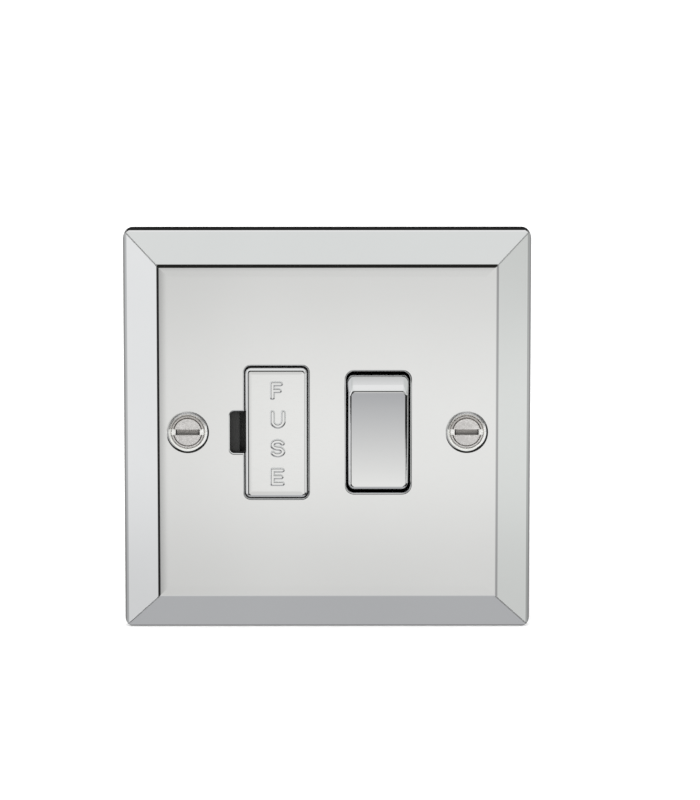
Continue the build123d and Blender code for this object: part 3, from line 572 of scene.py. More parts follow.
@dataclass(frozen=True)
class TumbledNickel:
    """Nickel on a tumbled screw: a soft grain, with painted shade in the slot and the rings, a painted
    shadow on the upper ring and painted highlights at the slot's run-outs.
    """

    name: str
    dark: Triple
    light: Triple
    screw: "FixingScrews"
    patch_mm: float = 0.7
    gloss: Pair = (0.42, 0.55)
    gloss_mm: float = 0.5
    grain_mm: float = 0.28
    grain_height_mm: float = 0.009
    shadow: Triple = (0.46, 0.435, 0.41)
    shadow_most: float = 0.8
    recess_shade: Triple = (0.47, 0.45, 0.43)
    edge_most: float = 0.75
    edge_foot: float = 0.3
    groove_shade: Triple = (0.27, 0.25, 0.23)
    groove_blur: float = 1.6
    foot: Triple = (0.16, 0.155, 0.15)
    foot_share: float = 0.3
    turn_up_shade: Triple = (0.04, 0.04, 0.04)
    run_out_highlight: Triple = (0.97, 0.965, 0.94)
    slot_start_mm: float = 0.1
    head_blur: float = 3.0

    def build(self) -> bpy.types.Material:
        """Make the material."""
        bench = Bench(self.name)
        bench.set(Metallic=0.5)
        bench.tint(bench.noise(self.patch_mm, detail=5.0), self.dark, self.light)
        bench.join(bench.span(bench.noise(self.gloss_mm, detail=4.0), *self.gloss), "Roughness")
        bench.relief(bench.noise(self.grain_mm, detail=4.0), self.grain_height_mm)
        self._shade_head(bench)
        return bench.material

    @property
    def blur_mm(self) -> float:
        """Run of a soft edge: half of the groove's width."""
        return self.screw.groove_mm / 2.0

    def _shade_head(self, bench: Bench) -> None:
        """Shade the rings, then the slot, on the head alone; the slot is what lies below the rings."""
        screw, blur = self.screw, self.blur_mm
        y = bench.split(bench.place)[1]
        slot_start = screw.top_mm + screw.edge_drop_mm + self.slot_start_mm
        floor = screw.top_mm + screw.slot_depth_mm
        slot = bench.rise(y, slot_start, floor - blur)
        sunk = bench.rise(y, slot_start - blur, slot_start)
        head = bench.fall(y, floor + blur, floor + self.head_blur * blur)
        self._shade_rings(bench, slot, head)
        self._shade_slot(bench, slot, sunk, head)

    def _shade_rings(self, bench: Bench, slot: Socket, head: Socket) -> None:
        """Paint a shadow on the upper ring, and paint shade on the head's edge, the slot and the groove.

        A point's reach is its distance from the nearer screw's axis. The ring, the edge and the groove
        are bands of reach.

        Args:
            bench: The material's bench.
            slot: Mask of the slot.
            head: Mask of the head.
        """
        screw, blur = self.screw, self.blur_mm
        groove_mm = screw.groove_radius_mm
        z = bench.split(bench.place)[2]
        _, reach = bench.from_pair(screw.centre_mm)
        ring = bench.rise(reach, groove_mm, groove_mm + blur)
        bench.shade(bench.overlap(ring, bench.rise(z, 0.0, groove_mm, self.shadow_most)), self.shadow)
        edge_mm = screw.head_radius_mm - screw.edge_mm
        edge = bench.rise(reach, edge_mm - blur, edge_mm, self.edge_most)
        fading = bench.span(z, self.edge_foot, 1.0, -groove_mm * MM, screw.slot_mm * MM)
        recess = bench.math("MAXIMUM", bench.overlap(edge, fading), slot)
        # Painted shade: the head's edge, most towards the top, and the slot are darkened.
        bench.shade(bench.overlap(recess, head), self.recess_shade)
        off = bench.math("ABSOLUTE", bench.math("SUBTRACT", reach, groove_mm * MM))
        groove = bench.fall(off, blur, self.groove_blur * blur)
        # Painted shade: a dark line in the groove round the dome.
        bench.shade(bench.overlap(groove, head), self.groove_shade)

    def _shade_slot(self, bench: Bench, slot: Socket, sunk: Socket, head: Socket) -> None:
        """Paint shade that darkens the slot towards its foot and where its floor turns up, and paint
        highlights on its run-outs.

        Args:
            bench: The material's bench.
            slot: Mask of the slot.
            sunk: Mask of all that lies below the rings.
            head: Mask of the head.
        """
        screw, blur = self.screw, self.blur_mm
        half, rise = screw.slot_mm / 2.0, screw.slot_rise_mm
        z = bench.split(bench.place)[2]
        aside = bench.math("ABSOLUTE", bench.from_pair(screw.centre_mm)[0])
        # Painted shade: the slot darkens towards its lower wall.
        bench.shade(bench.overlap(slot, bench.fall(z, -half, self.foot_share * half), head), self.foot)
        bar_mm = screw.slot_flat_mm + rise / 2.0
        away = bench.math("ABSOLUTE", bench.math("SUBTRACT", aside, bar_mm * MM))
        # Painted shade: dark bars where the slot's floor turns up.
        bench.shade(bench.overlap(bench.fall(away, rise / 2.0, rise), sunk, head), self.turn_up_shade)
        run_out = bench.rise(aside, bar_mm + rise / 2.0, bar_mm + rise / 2.0 + blur)
        lane = bench.fall(bench.math("ABSOLUTE", z), half - blur, half)
        # Painted highlight: the run-outs past the slot's ends are brightened.
        bench.shade(bench.overlap(run_out, lane, head), self.run_out_highlight)


@dataclass(frozen=True)
class GlazedCeramic:
    """Fuse barrel: off-white ceramic with fine specks under a thin glaze."""

    name: str
    dark: Triple = (0.78, 0.75, 0.69)
    light: Triple = (0.87, 0.85, 0.8)
    speck_mm: float = 0.35
    speck_range: Pair = (0.28, 0.5)
    gloss: Pair = (0.28, 0.42)
    gloss_mm: float = 1.2
    wave_mm: float = 0.6
    wave_height_mm: float = 0.004

    def build(self) -> bpy.types.Material:
        """Make the material."""
        bench = Bench(self.name)
        bench.set(IOR=1.52, Coat_Weight=0.4, Coat_Roughness=0.12)
        bench.tint(bench.noise(self.speck_mm, detail=4.0), self.dark, self.light, *self.speck_range)
        bench.join(bench.span(bench.noise(self.gloss_mm, detail=3.0), *self.gloss), "Roughness")
        bench.relief(bench.noise(self.wave_mm, detail=3.0), self.wave_height_mm)
        return bench.material


class Wardrobe:
    """Every finish of the unit, and which solid wears which."""

    BLACKS = ((0.028, 0.028, 0.027), (0.042, 0.042, 0.041))
    HOUSING_BLACKS = ((0.024, 0.024, 0.026), (0.036, 0.036, 0.039))
    BEVEL_MM = 7.4
    COVER_EDGE_MM = 0.72
    COVER_TONE = (0.799, 0.801, 0.803)
    CALM_WAVE_MM = 0.0008
    EVEN = (1.0, 1.0, 1.0)
    TURNED = (1.0, 0.2, 1.0)
    WORN_BY = {
        "plate_chrome": ("front_plate",),
        "rocker_chrome": ("rocker_cap",),
        "cover_chrome": ("fuse_cover",),
        "insert_black": ("front_moulding",),
        "housing_black": ("rear_housing",),
        "rocker_black": ("rocker_body", "plunger_live", "plunger_neutral"),
        "carrier_black": ("fuse_carrier",),
        "bright_brass": (
            "live_supply_bar", "neutral_supply_bar", "live_bridge_bar", "neutral_load_bar", "live_load_bar",
            "earth_strap", "terminal_live_supply", "terminal_earth_supply", "terminal_neutral_supply",
            "terminal_live_load", "terminal_earth_load", "terminal_neutral_load",
        ),
        "contact_copper": ("moving_contact_live", "moving_contact_neutral"),
        "clip_bronze": ("fuse_clip_upper", "fuse_clip_lower"),
        "contact_silver": ("contact_tip_live", "contact_tip_neutral", "fixed_contact_tips"),
        "cap_nickel": ("fuse_end_caps",),
        "fuse_ceramic": ("fuse_barrel",),
    }
    SOFT_EDGES_MM = {"carrier_black": 0.12, "bright_brass": 0.15}
    SOFT_STEPS = 2
    WELD_MM = 0.001
    FLAT_DEG = 0.5
    SHARP_DEG = 50.0

    def __init__(self, side_mm: float, screws: "FixingScrews", word: "FuseLettering") -> None:
        """Make the materials.

        Args:
            side_mm: Distance of the plate's sides from its middle.
            screws: The fixing screws, whose recesses get painted shade and whose slot run-outs get painted
                highlights.
            word: The raised word, whose slopes are softened.
        """
        plated = self._plated(side_mm, screws, word)
        self._made = {finish.name: finish.build() for finish in (*plated, *self._others(screws))}

    def __getitem__(self, name: str) -> bpy.types.Material:
        """The finish of that name."""
        return self._made[name]

    def _plated(self, side_mm: float, screws: "FixingScrews",
                word: "FuseLettering") -> Sequence[ChromePlating]:
        """The chromium finishes, placed from the plate's and the cover's sizes."""
        crease_mm = side_mm - self.BEVEL_MM
        low, high = (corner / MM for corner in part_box("fuse_cover"))
        middle, half = (low + high) / 2.0, (high - low) / 2.0
        cover = (middle.x, middle.z, half.x - self.COVER_EDGE_MM, half.z - self.COVER_EDGE_MM)
        calm = {"wave_height_mm": self.CALM_WAVE_MM}
        return (
            ChromePlating(
                "plate_chrome", crease_mm=crease_mm, side_mm=side_mm, screws=screws,
                face_mm=(0.0, 0.0, crease_mm, crease_mm),
            ),
            ChromePlating("rocker_chrome", **calm),
            ChromePlating(
                "cover_chrome", self.COVER_TONE, face_mm=cover,
                pillow_run_mm=0.8, pillow_tilt_deg=1.3, **calm,
            ),
            ChromePlating("word_chrome", word=word, **calm),
        )

    def _others(self, screws: "FixingScrews") -> Sequence[object]:
        """The finishes of mouldings, bars, contacts, springs, fasteners and the fuse."""
        return (
            MouldedPlastic("insert_black", *self.BLACKS),
            MouldedPlastic(
                "housing_black", *self.HOUSING_BLACKS, gloss=(0.42, 0.56),
                grain_mm=0.3, grain_height_mm=0.009,
            ),
            MouldedPlastic("rocker_black", *self.BLACKS),
            MouldedPlastic("carrier_black", *self.BLACKS, gloss=(0.34, 0.48)),
            RolledMetal("bright_brass", (0.62, 0.43, 0.18), (0.76, 0.57, 0.28)),
            RolledMetal("contact_copper", (0.62, 0.33, 0.2), (0.76, 0.45, 0.3)),
            RolledMetal("clip_bronze", (0.56, 0.37, 0.2), (0.7, 0.49, 0.29)),
            RolledMetal("contact_silver", (0.78, 0.78, 0.76), (0.88, 0.88, 0.87), (0.16, 0.3)),
            RolledMetal("spring_wire", (0.42, 0.42, 0.44), (0.55, 0.55, 0.57), along=self.EVEN),
            RolledMetal("stud_zinc", (0.5, 0.51, 0.53), (0.62, 0.63, 0.65), (0.28, 0.42), self.TURNED),
            RolledMetal("terminal_zinc", (0.52, 0.52, 0.52), (0.66, 0.66, 0.65), (0.24, 0.4), self.TURNED),
            RolledMetal("cap_nickel", (0.6, 0.59, 0.56), (0.72, 0.71, 0.68), (0.16, 0.28)),
            TumbledNickel("screw_nickel", (0.64, 0.622, 0.605), (0.76, 0.742, 0.725), screws),
            GlazedCeramic("fuse_ceramic"),
        )

    def dress_solids(self, nodes: dict[str, bpy.types.Object]) -> None:
        """Give every solid that stays in view its finish.

        Args:
            nodes: The frame's solids by name.
        """
        for finish, wearers in self.WORN_BY.items():
            for wearer in wearers:
                nodes[wearer].data.materials.clear()
                nodes[wearer].data.materials.append(self[finish])
                if finish in self.SOFT_EDGES_MM:
                    self._soften(nodes[wearer], self.SOFT_EDGES_MM[finish])
        LOG.info("%d solids dressed", sum(len(wearers) for wearers in self.WORN_BY.values()))

    def _soften(self, solid: bpy.types.Object, width_mm: float) -> None:
        """Round the sharp edges of a solid for the eye: join its triangles, merge flat ones, bevel.

        Args:
            solid: The solid's object.
            width_mm: Width of the rounding.
        """
        weld = solid.modifiers.new("join", "WELD")
        weld.merge_threshold = self.WELD_MM * MM
        flat = solid.modifiers.new("merge_flat", "DECIMATE")
        flat.decimate_type = "DISSOLVE"
        flat.angle_limit = math.radians(self.FLAT_DEG)
        soft = solid.modifiers.new("soften", "BEVEL")
        soft.width = width_mm * MM
        soft.segments = self.SOFT_STEPS
        soft.limit_method = "ANGLE"
        soft.angle_limit = math.radians(self.SHARP_DEG)
        soft.use_clamp_overlap = True


# Pieces


@dataclass
class Thread:
    """A screw thread about the Y axis, from one depth to another."""

    PROFILE = ((0.0, 0.0), (0.38, 1.0), (0.5, 1.0), (0.88, 0.0), (1.0, 0.0))
    DEPTH_SHARE = 0.61
    LEAD_TURNS = 1.0

    major_mm: float
    pitch_mm: float
    start_mm: float
    end_mm: float
    steps: int = 32
    fade_mm: float = 0.5
    tip_mm: float = 0.0

    def add_to(self, surface: SurfaceMesh, x: float, z: float) -> None:
        """Carry the thread's profile along its helix and close both ends.

        The profile of one turn is root, crest, crest, root. At an angle a along the helix a point
        stands at depth start + pitch * (a / turn + share of the profile), clipped to the two ends,
        and at a radius of minor + depth of thread * profile, where the depth fades to nothing near
        the ends. Neighbouring turns share their roots.

        Args:
            surface: The surface that it joins.
            x: Place of the axis across the unit.
            z: Place of the axis up the unit.
        """
        minor = self.major_mm - self.DEPTH_SHARE * self.pitch_mm
        share, crest = np.array(self.PROFILE).T
        length = abs(self.end_mm - self.start_mm)
        turns = length / self.pitch_mm + 2.0 * self.LEAD_TURNS
        angle = np.arange(int(math.ceil(turns * self.steps)) + 1)[:, None] * TURN / self.steps
        along = np.clip(self.pitch_mm * (angle / TURN - self.LEAD_TURNS + share[None, :]), 0.0, length)
        fade = smoothstep(along / self.fade_mm) * smoothstep((length - along) / self.fade_mm)
        radius = minor + (self.major_mm - minor) * crest[None, :] * fade
        if self.tip_mm:
            radius = np.minimum(radius, minor - self.tip_mm + np.maximum(length - along, 0.0))
        depth = self.start_mm + math.copysign(1.0, self.end_mm - self.start_mm) * along
        place = np.array((x, 0.0, z))
        surface.add_grid(ring_points(radius, depth, angle) + place)
        spokes = np.arange(self.steps) * TURN / self.steps
        for level, rim in ((self.start_mm, minor), (self.end_mm, minor - self.tip_mm)):
            disc = ring_points(np.array((rim, 0.0))[:, None], np.array(level), spokes[None, :])
            surface.add_grid(disc + place, wrap=True)


@dataclass
class SlottedHead:
    """A slotted screw head whose top faces along the Y axis (1) or against it (-1)."""

    SLOT_ROWS = 3
    CLOSE_MM = 0.01
    DECIMALS = 4

    radius_mm: float
    slot_mm: float
    floor_mm: float
    facing: float
    crown: Sequence[Pair]
    skirt: Sequence[Pair]
    flat_mm: float = 0.0
    rise_mm: float = 0.0
    run_out_mm: float = 0.0
    rows: int = 30

    def add_to(self, surface: SurfaceMesh, x: float, z: float, top: float) -> None:
        """Add a closed head: the slotted crown and the skirt below it.

        The crown is a grid over the disc: rows step across the slot, and each column follows the
        circle of one radius of the crown's profile, so along = sqrt(radius^2 - across^2), or nothing
        where a row lies outside the circle. A point's depth is the profile at its distance from the
        axis. Rows inside the slot drop to the slot's floor. The skirt carries the crown's rim down
        through its own profile.

        Args:
            surface: The surface that it joins.
            x: Place of the axis across the unit.
            z: Place of the axis up the unit.
            top: Depth of the crown's highest point.
        """
        half = self.slot_mm / 2.0
        radii, drops = np.array(self.crown).T
        ease = half + (self.radius_mm - half) * np.sin(np.linspace(0.0, math.pi / 2.0, self.rows))
        outer = np.unique(np.concatenate((ease, radii[radii > half + self.CLOSE_MM])).round(self.DECIMALS))
        across = np.concatenate((-outer[::-1], np.linspace(-half, half, self.SLOT_ROWS), outer))
        in_slot = np.zeros(len(across), dtype=bool)
        in_slot[len(outer):len(outer) + self.SLOT_ROWS] = True
        reach = np.sqrt(np.maximum(radii[None, 1:] ** 2 - across[:, None] ** 2, 0.0))
        along = np.concatenate((-reach[:, ::-1], np.zeros((len(across), 1)), reach), axis=1)
        drop = np.interp(np.hypot(along, across[:, None]), radii, drops)
        drop = np.where(in_slot[:, None], self._slot_drop(np.abs(along), drop), drop)
        upright = np.broadcast_to(across[:, None], along.shape)
        place = np.array((x, top, z))
        crown = np.stack((along, -self.facing * drop, upright), axis=-1)
        surface.add_grid(crown + place)
        rim = np.concatenate((crown[:, -1], crown[::-1, 0]))
        skirt_radius, skirt_drop = np.array(self.skirt).T
        shrink = skirt_radius[:, None] / self.radius_mm
        levels = np.broadcast_to((-self.facing * skirt_drop)[:, None], (len(skirt_drop), len(rim)))
        walls = np.stack((rim[None, :, 0] * shrink, levels, rim[None, :, 2] * shrink), axis=-1)
        surface.add_grid(np.concatenate((rim[None], walls)) + place, wrap=True)

    def _slot_drop(self, along: np.ndarray, drop: np.ndarray) -> np.ndarray:
        """Depth of the slot: its floor, which may turn up past its flat length to a level run-out.

        Args:
            along: Distances along the slot from its middle.
            drop: Depths of the crown without its slot.

        Returns:
            Depths, shaped as the inputs; the run-out cuts the crown's rings.
        """
        if not self.rise_mm:
            return np.maximum(drop, self.floor_mm)
        end = self.flat_mm + self.rise_mm
        floor = np.interp(along, (self.flat_mm, end), (self.floor_mm, self.run_out_mm))
        return np.where(along > end, self.run_out_mm, np.maximum(drop, floor))


@dataclass
class FixingScrews:
    """The two raised countersunk screws that hold the plate to its box."""

    head_radius_mm: float = 3.5
    groove_radius_mm: float = 3.05
    groove_mm: float = 0.2
    groove_drop_mm: float = 0.6
    wall_mm: float = 0.02
    edge_mm: float = 0.12
    dome_mm: float = 0.24
    dome_rings: int = 30
    dome_lip_mm: float = 0.06
    lip_start_mm: float = 0.01
    lip_drop_mm: float = 0.05
    ring_drop_mm: float = 0.42
    edge_drop_mm: float = 0.5
    corner_mm: float = 0.04
    corner_drop_mm: float = 0.02
    land_mm: float = 0.3
    slot_mm: float = 1.3
    solid_slot_mm: float = 1.2
    slot_depth_mm: float = 1.0
    slot_flat_mm: float = 2.4
    slot_rise_mm: float = 0.2
    slot_run_out_mm: float = 0.42
    neck_radius_mm: float = 1.53
    pitch_mm: float = 0.6
    thread_radius_mm: float = 1.75
    thread_sink_mm: float = 0.2
    tip_mm: float = 0.25

    @property
    def top_mm(self) -> float:
        """Depth of the heads' highest points."""
        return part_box("fixing_screws")[0].y / MM

    @property
    def centre_mm(self) -> float:
        """Distance of the screws' axes from the unit's middle; the solid's slot trims its box."""
        trimmed = math.sqrt(self.head_radius_mm**2 - (self.solid_slot_mm / 2.0) ** 2)
        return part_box("fixing_screws")[1].x / MM - trimmed

    def crown(self) -> list[Pair]:
        """Radius and drop of the head's top: a part of a sphere, the groove, then the flat ring."""
        head, groove = self.head_radius_mm, self.groove_drop_mm
        dome_radius = self.groove_radius_mm - self.groove_mm / 2.0
        ring_start = self.groove_radius_mm + self.groove_mm / 2.0
        sphere = (dome_radius**2 + self.dome_mm**2) / (2.0 * self.dome_mm)
        dome = np.linspace(0.0, dome_radius - self.dome_lip_mm, self.dome_rings)
        return [(r, sphere - math.sqrt(sphere**2 - r * r)) for r in dome] + [
            (dome_radius - self.lip_start_mm, self.dome_mm + self.lip_drop_mm),
            (dome_radius + self.wall_mm, groove), (ring_start - self.wall_mm, groove),
            (ring_start + self.wall_mm, self.ring_drop_mm), (head - self.edge_mm, self.ring_drop_mm),
            (head - self.corner_mm, self.ring_drop_mm + self.corner_drop_mm), (head, self.edge_drop_mm),
        ]

    def build(self, finish: bpy.types.Material) -> bpy.types.Object:
        """Make both screws as one piece in place of their plain solids.

        Args:
            finish: The screws' material.

        Returns:
            The piece.
        """
        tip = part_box("fixing_screws")[1].y / MM
        seat = self.edge_drop_mm + self.land_mm
        neck_drop = seat + self.head_radius_mm - self.neck_radius_mm
        skirt = [
            (self.head_radius_mm, seat - self.corner_mm), (self.head_radius_mm - self.corner_mm, seat),
            (self.neck_radius_mm, neck_drop), (0.0, neck_drop),
        ]
        head = SlottedHead(
            self.head_radius_mm, self.slot_mm, self.slot_depth_mm, -1.0, self.crown(), skirt,
            self.slot_flat_mm, self.slot_rise_mm, self.slot_run_out_mm,
        )
        thread_start = self.top_mm + neck_drop - self.thread_sink_mm
        thread = Thread(self.thread_radius_mm, self.pitch_mm, thread_start, tip, tip_mm=self.tip_mm)
        surface = SurfaceMesh("fixing_screws_threaded")
        for x in (-self.centre_mm, self.centre_mm):
            head.add_to(surface, x, 0.0, self.top_mm)
            thread.add_to(surface, x, 0.0)
        return settle(surface.build(), finish, Body.UNIT, ("fixing_screws",))


@dataclass
class TerminalScrews:
    """Six cheese-head screws that clamp the wires from behind."""

    head_radius_mm: float = 2.9
    head_mm: float = 1.8
    head_rings: int = 8
    edge_mm: float = 0.35
    edge_steps: int = 5
    chamfer_mm: float = 0.1
    slot_mm: float = 1.0
    slot_depth_mm: float = 0.9
    thread_radius_mm: float = 1.7
    thread_sink_mm: float = 0.2
    pitch_mm: float = 0.6

    def build(self, finish: bpy.types.Material) -> bpy.types.Object:
        """Make all six screws as one piece in place of their plain solids.

        Args:
            finish: The screws' material.

        Returns:
            The piece.
        """
        low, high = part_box("terminal_screws")
        top, tip = high.y / MM, low.y / MM
        row = high.z / MM - self.head_radius_mm
        column = high.x / MM - self.head_radius_mm
        bend = np.linspace(0.0, math.pi / 2.0, self.edge_steps)
        inner = self.head_radius_mm - self.edge_mm
        crown = [(r, 0.0) for r in np.linspace(0.0, inner, self.head_rings)[:-1]]
        crown += [(inner + self.edge_mm * math.sin(a), self.edge_mm * (1.0 - math.cos(a))) for a in bend]
        skirt = [
            (self.head_radius_mm, self.head_mm - self.chamfer_mm),
            (self.head_radius_mm - self.chamfer_mm, self.head_mm), (0.0, self.head_mm),
        ]
        head = SlottedHead(self.head_radius_mm, self.slot_mm, self.slot_depth_mm, 1.0, crown, skirt, rows=20)
        thread_start = top - self.head_mm + self.thread_sink_mm
        thread = Thread(self.thread_radius_mm, self.pitch_mm, thread_start, tip, steps=24, fade_mm=0.3)
        surface = SurfaceMesh("terminal_screws_slotted")
        for x in (-column, 0.0, column):
            for z in (-row, row):
                head.add_to(surface, x, z, top)
                thread.add_to(surface, x, z)
        return settle(surface.build(), finish, Body.UNIT, ("terminal_screws",))


@dataclass
class PlateStuds:
    """Threaded studs welded behind the plate, and the nuts that clamp the module on them."""

    flange_radius_mm: float = 2.2
    flange_mm: float = 0.5
    flange_chamfer_mm: float = 0.1
    flange_steps: int = 40
    radius_mm: float = 1.5
    pitch_mm: float = 0.5
    across_flats_mm: float = 5.5
    nut_chamfer_deg: float = 30.0
    chamfer_steps: int = 5
    bore_fit_mm: float = 0.06
    flat_steps: int = 10

    def corners(self) -> list[np.ndarray]:
        """Places of the four studs' axes."""
        _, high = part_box("plate_studs")
        x, z = high.x / MM - self.flange_radius_mm, high.z / MM - self.flange_radius_mm
        return [np.array((side * x, 0.0, level * z)) for side in (-1, 1) for level in (-1, 1)]

    def build_studs(self, finish: bpy.types.Material) -> bpy.types.Object:
        """Make the studs: a flange turned about the axis, then the thread.

        Args:
            finish: The studs' material.

        Returns:
            The piece.
        """
        low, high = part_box("plate_studs")
        front, rear = low.y / MM, high.y / MM
        spokes = np.arange(self.flange_steps) * TURN / self.flange_steps
        wide, chamfer_start = self.flange_radius_mm, self.flange_mm - self.flange_chamfer_mm
        outline = np.array((
            (0.0, 0.0), (wide, 0.0), (wide, chamfer_start), (wide - self.flange_chamfer_mm, self.flange_mm),
            (0.0, self.flange_mm),
        ))
        flange = ring_points(outline[:, :1], front + outline[:, 1:], spokes[None, :])
        thread = Thread(
            self.radius_mm, self.pitch_mm, front + chamfer_start, rear, steps=28, fade_mm=0.4, tip_mm=0.2,
        )
        surface = SurfaceMesh("plate_studs_threaded")
        for corner in self.corners():
            surface.add_grid(flange + corner, wrap=True)
            thread.add_to(surface, corner[0], corner[2])
        return settle(surface.build(), finish, Body.UNIT, ("plate_studs",))

    def build_nuts(self, finish: bpy.types.Material) -> bpy.types.Object:
        """Make the nuts: a ring whose outer radius is the lesser of a hexagon and two cones.

        The hexagon's radius at angle a is half the flats over the cosine of the angle to the
        nearest flat. The cones start at the flats on both faces and open by the chamfer's slope.

        Args:
            finish: The nuts' material.

        Returns:
            The piece.
        """
        low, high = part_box("stud_nuts")
        front, rear = low.y / MM, high.y / MM
        apothem = self.across_flats_mm / 2.0
        slope = math.tan(math.radians(self.nut_chamfer_deg))
        sixth = TURN / 6.0
        spokes = np.arange(6 * self.flat_steps) * sixth / self.flat_steps
        to_flat = np.mod(spokes + sixth / 2.0, sixth) - sixth / 2.0
        hexagon = apothem / np.cos(to_flat)
        rise = (apothem / math.cos(sixth / 2.0) - apothem) * slope
        steps = np.linspace(0.0, rise, self.chamfer_steps)
        levels = np.concatenate((front + steps, rear - steps[::-1]))
        cone = apothem + np.minimum(levels - front, rear - levels) / slope
        outer = np.minimum(hexagon[None, :], cone[:, None])
        inner = np.full((1, len(spokes)), self.radius_mm + self.bore_fit_mm)
        radius = np.concatenate((inner, outer, inner, inner))
        depth = np.concatenate(((front,), levels, (rear, front)))
        ring = ring_points(radius, depth[:, None], spokes[None, :])
        surface = SurfaceMesh("stud_nuts_chamfered")
        for corner in self.corners():
            surface.add_grid(ring + corner, wrap=True)
        return settle(surface.build(sharp_deg=25.0), finish, Body.UNIT, ("stud_nuts",))


@dataclass
class PlungerSpring:
    """Round-wire coil behind one plunger, along the line on which that plunger slides."""

    pole: Pole
    wire_mm: float = 0.2
    coil_mm: float = 1.3
    turns: float = 5.0
    spare_mm: float = 0.1
    steps: int = 36
    sides: int = 12

    def build(self, finish: bpy.types.Material) -> bpy.types.Object:
        """Carry a round section along a helix and close its ends.

        A point of the wire is the helix's point plus the wire's radius times cos(b) outwards and
        sin(b) along the axis, with the radius easing to nothing in the first and last step.

        Args:
            finish: The spring's material.

        Returns:
            The piece.
        """
        node, joint_name = f"plunger_spring_{self.pole.value}", f"{self.pole.value}_plunger_slide"
        low, high = (np.array(corner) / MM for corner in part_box(node))
        centre = (low + high) / 2.0
        slide = next(joint for joint in frame["joints"] if joint["name"] == joint_name)
        inwards = np.array(slide["axis"])
        tilt = math.atan2(-inwards[2], -inwards[1])
        lean = 2.0 * (self.coil_mm + self.wire_mm) * math.sin(tilt)
        length = (high[1] - low[1] - lean) / math.cos(tilt) - self.spare_mm
        share = np.linspace(0.0, 1.0, int(self.turns * self.steps) + 1)
        around = np.linspace(0.0, TURN, self.sides, endpoint=False)
        ends = np.minimum(share, 1.0 - share) * len(share)
        wire = self.wire_mm * np.minimum(ends, 1.0)[:, None]
        radius = self.coil_mm + wire * np.cos(around)
        rise = (share[:, None] - 0.5) * length + wire * np.sin(around)
        coil = ring_points(radius, rise, share[:, None] * self.turns * TURN)
        lean_over = np.array(Matrix.Rotation(tilt, 3, "X"))
        surface = SurfaceMesh(f"{node}_coil")
        surface.add_grid(coil @ lean_over.T + centre, wrap=True)
        piece = settle(surface.build(sharp_deg=80.0), finish, Body.ROCKER, (node,))
        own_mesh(piece)
        return piece


class Glyph(Enum):
    """Letters of the raised word on the fuse cover, top to bottom, with their widths in millimetres."""

    F = 2.92
    U = 3.5
    S = 3.4
    E = 3.26


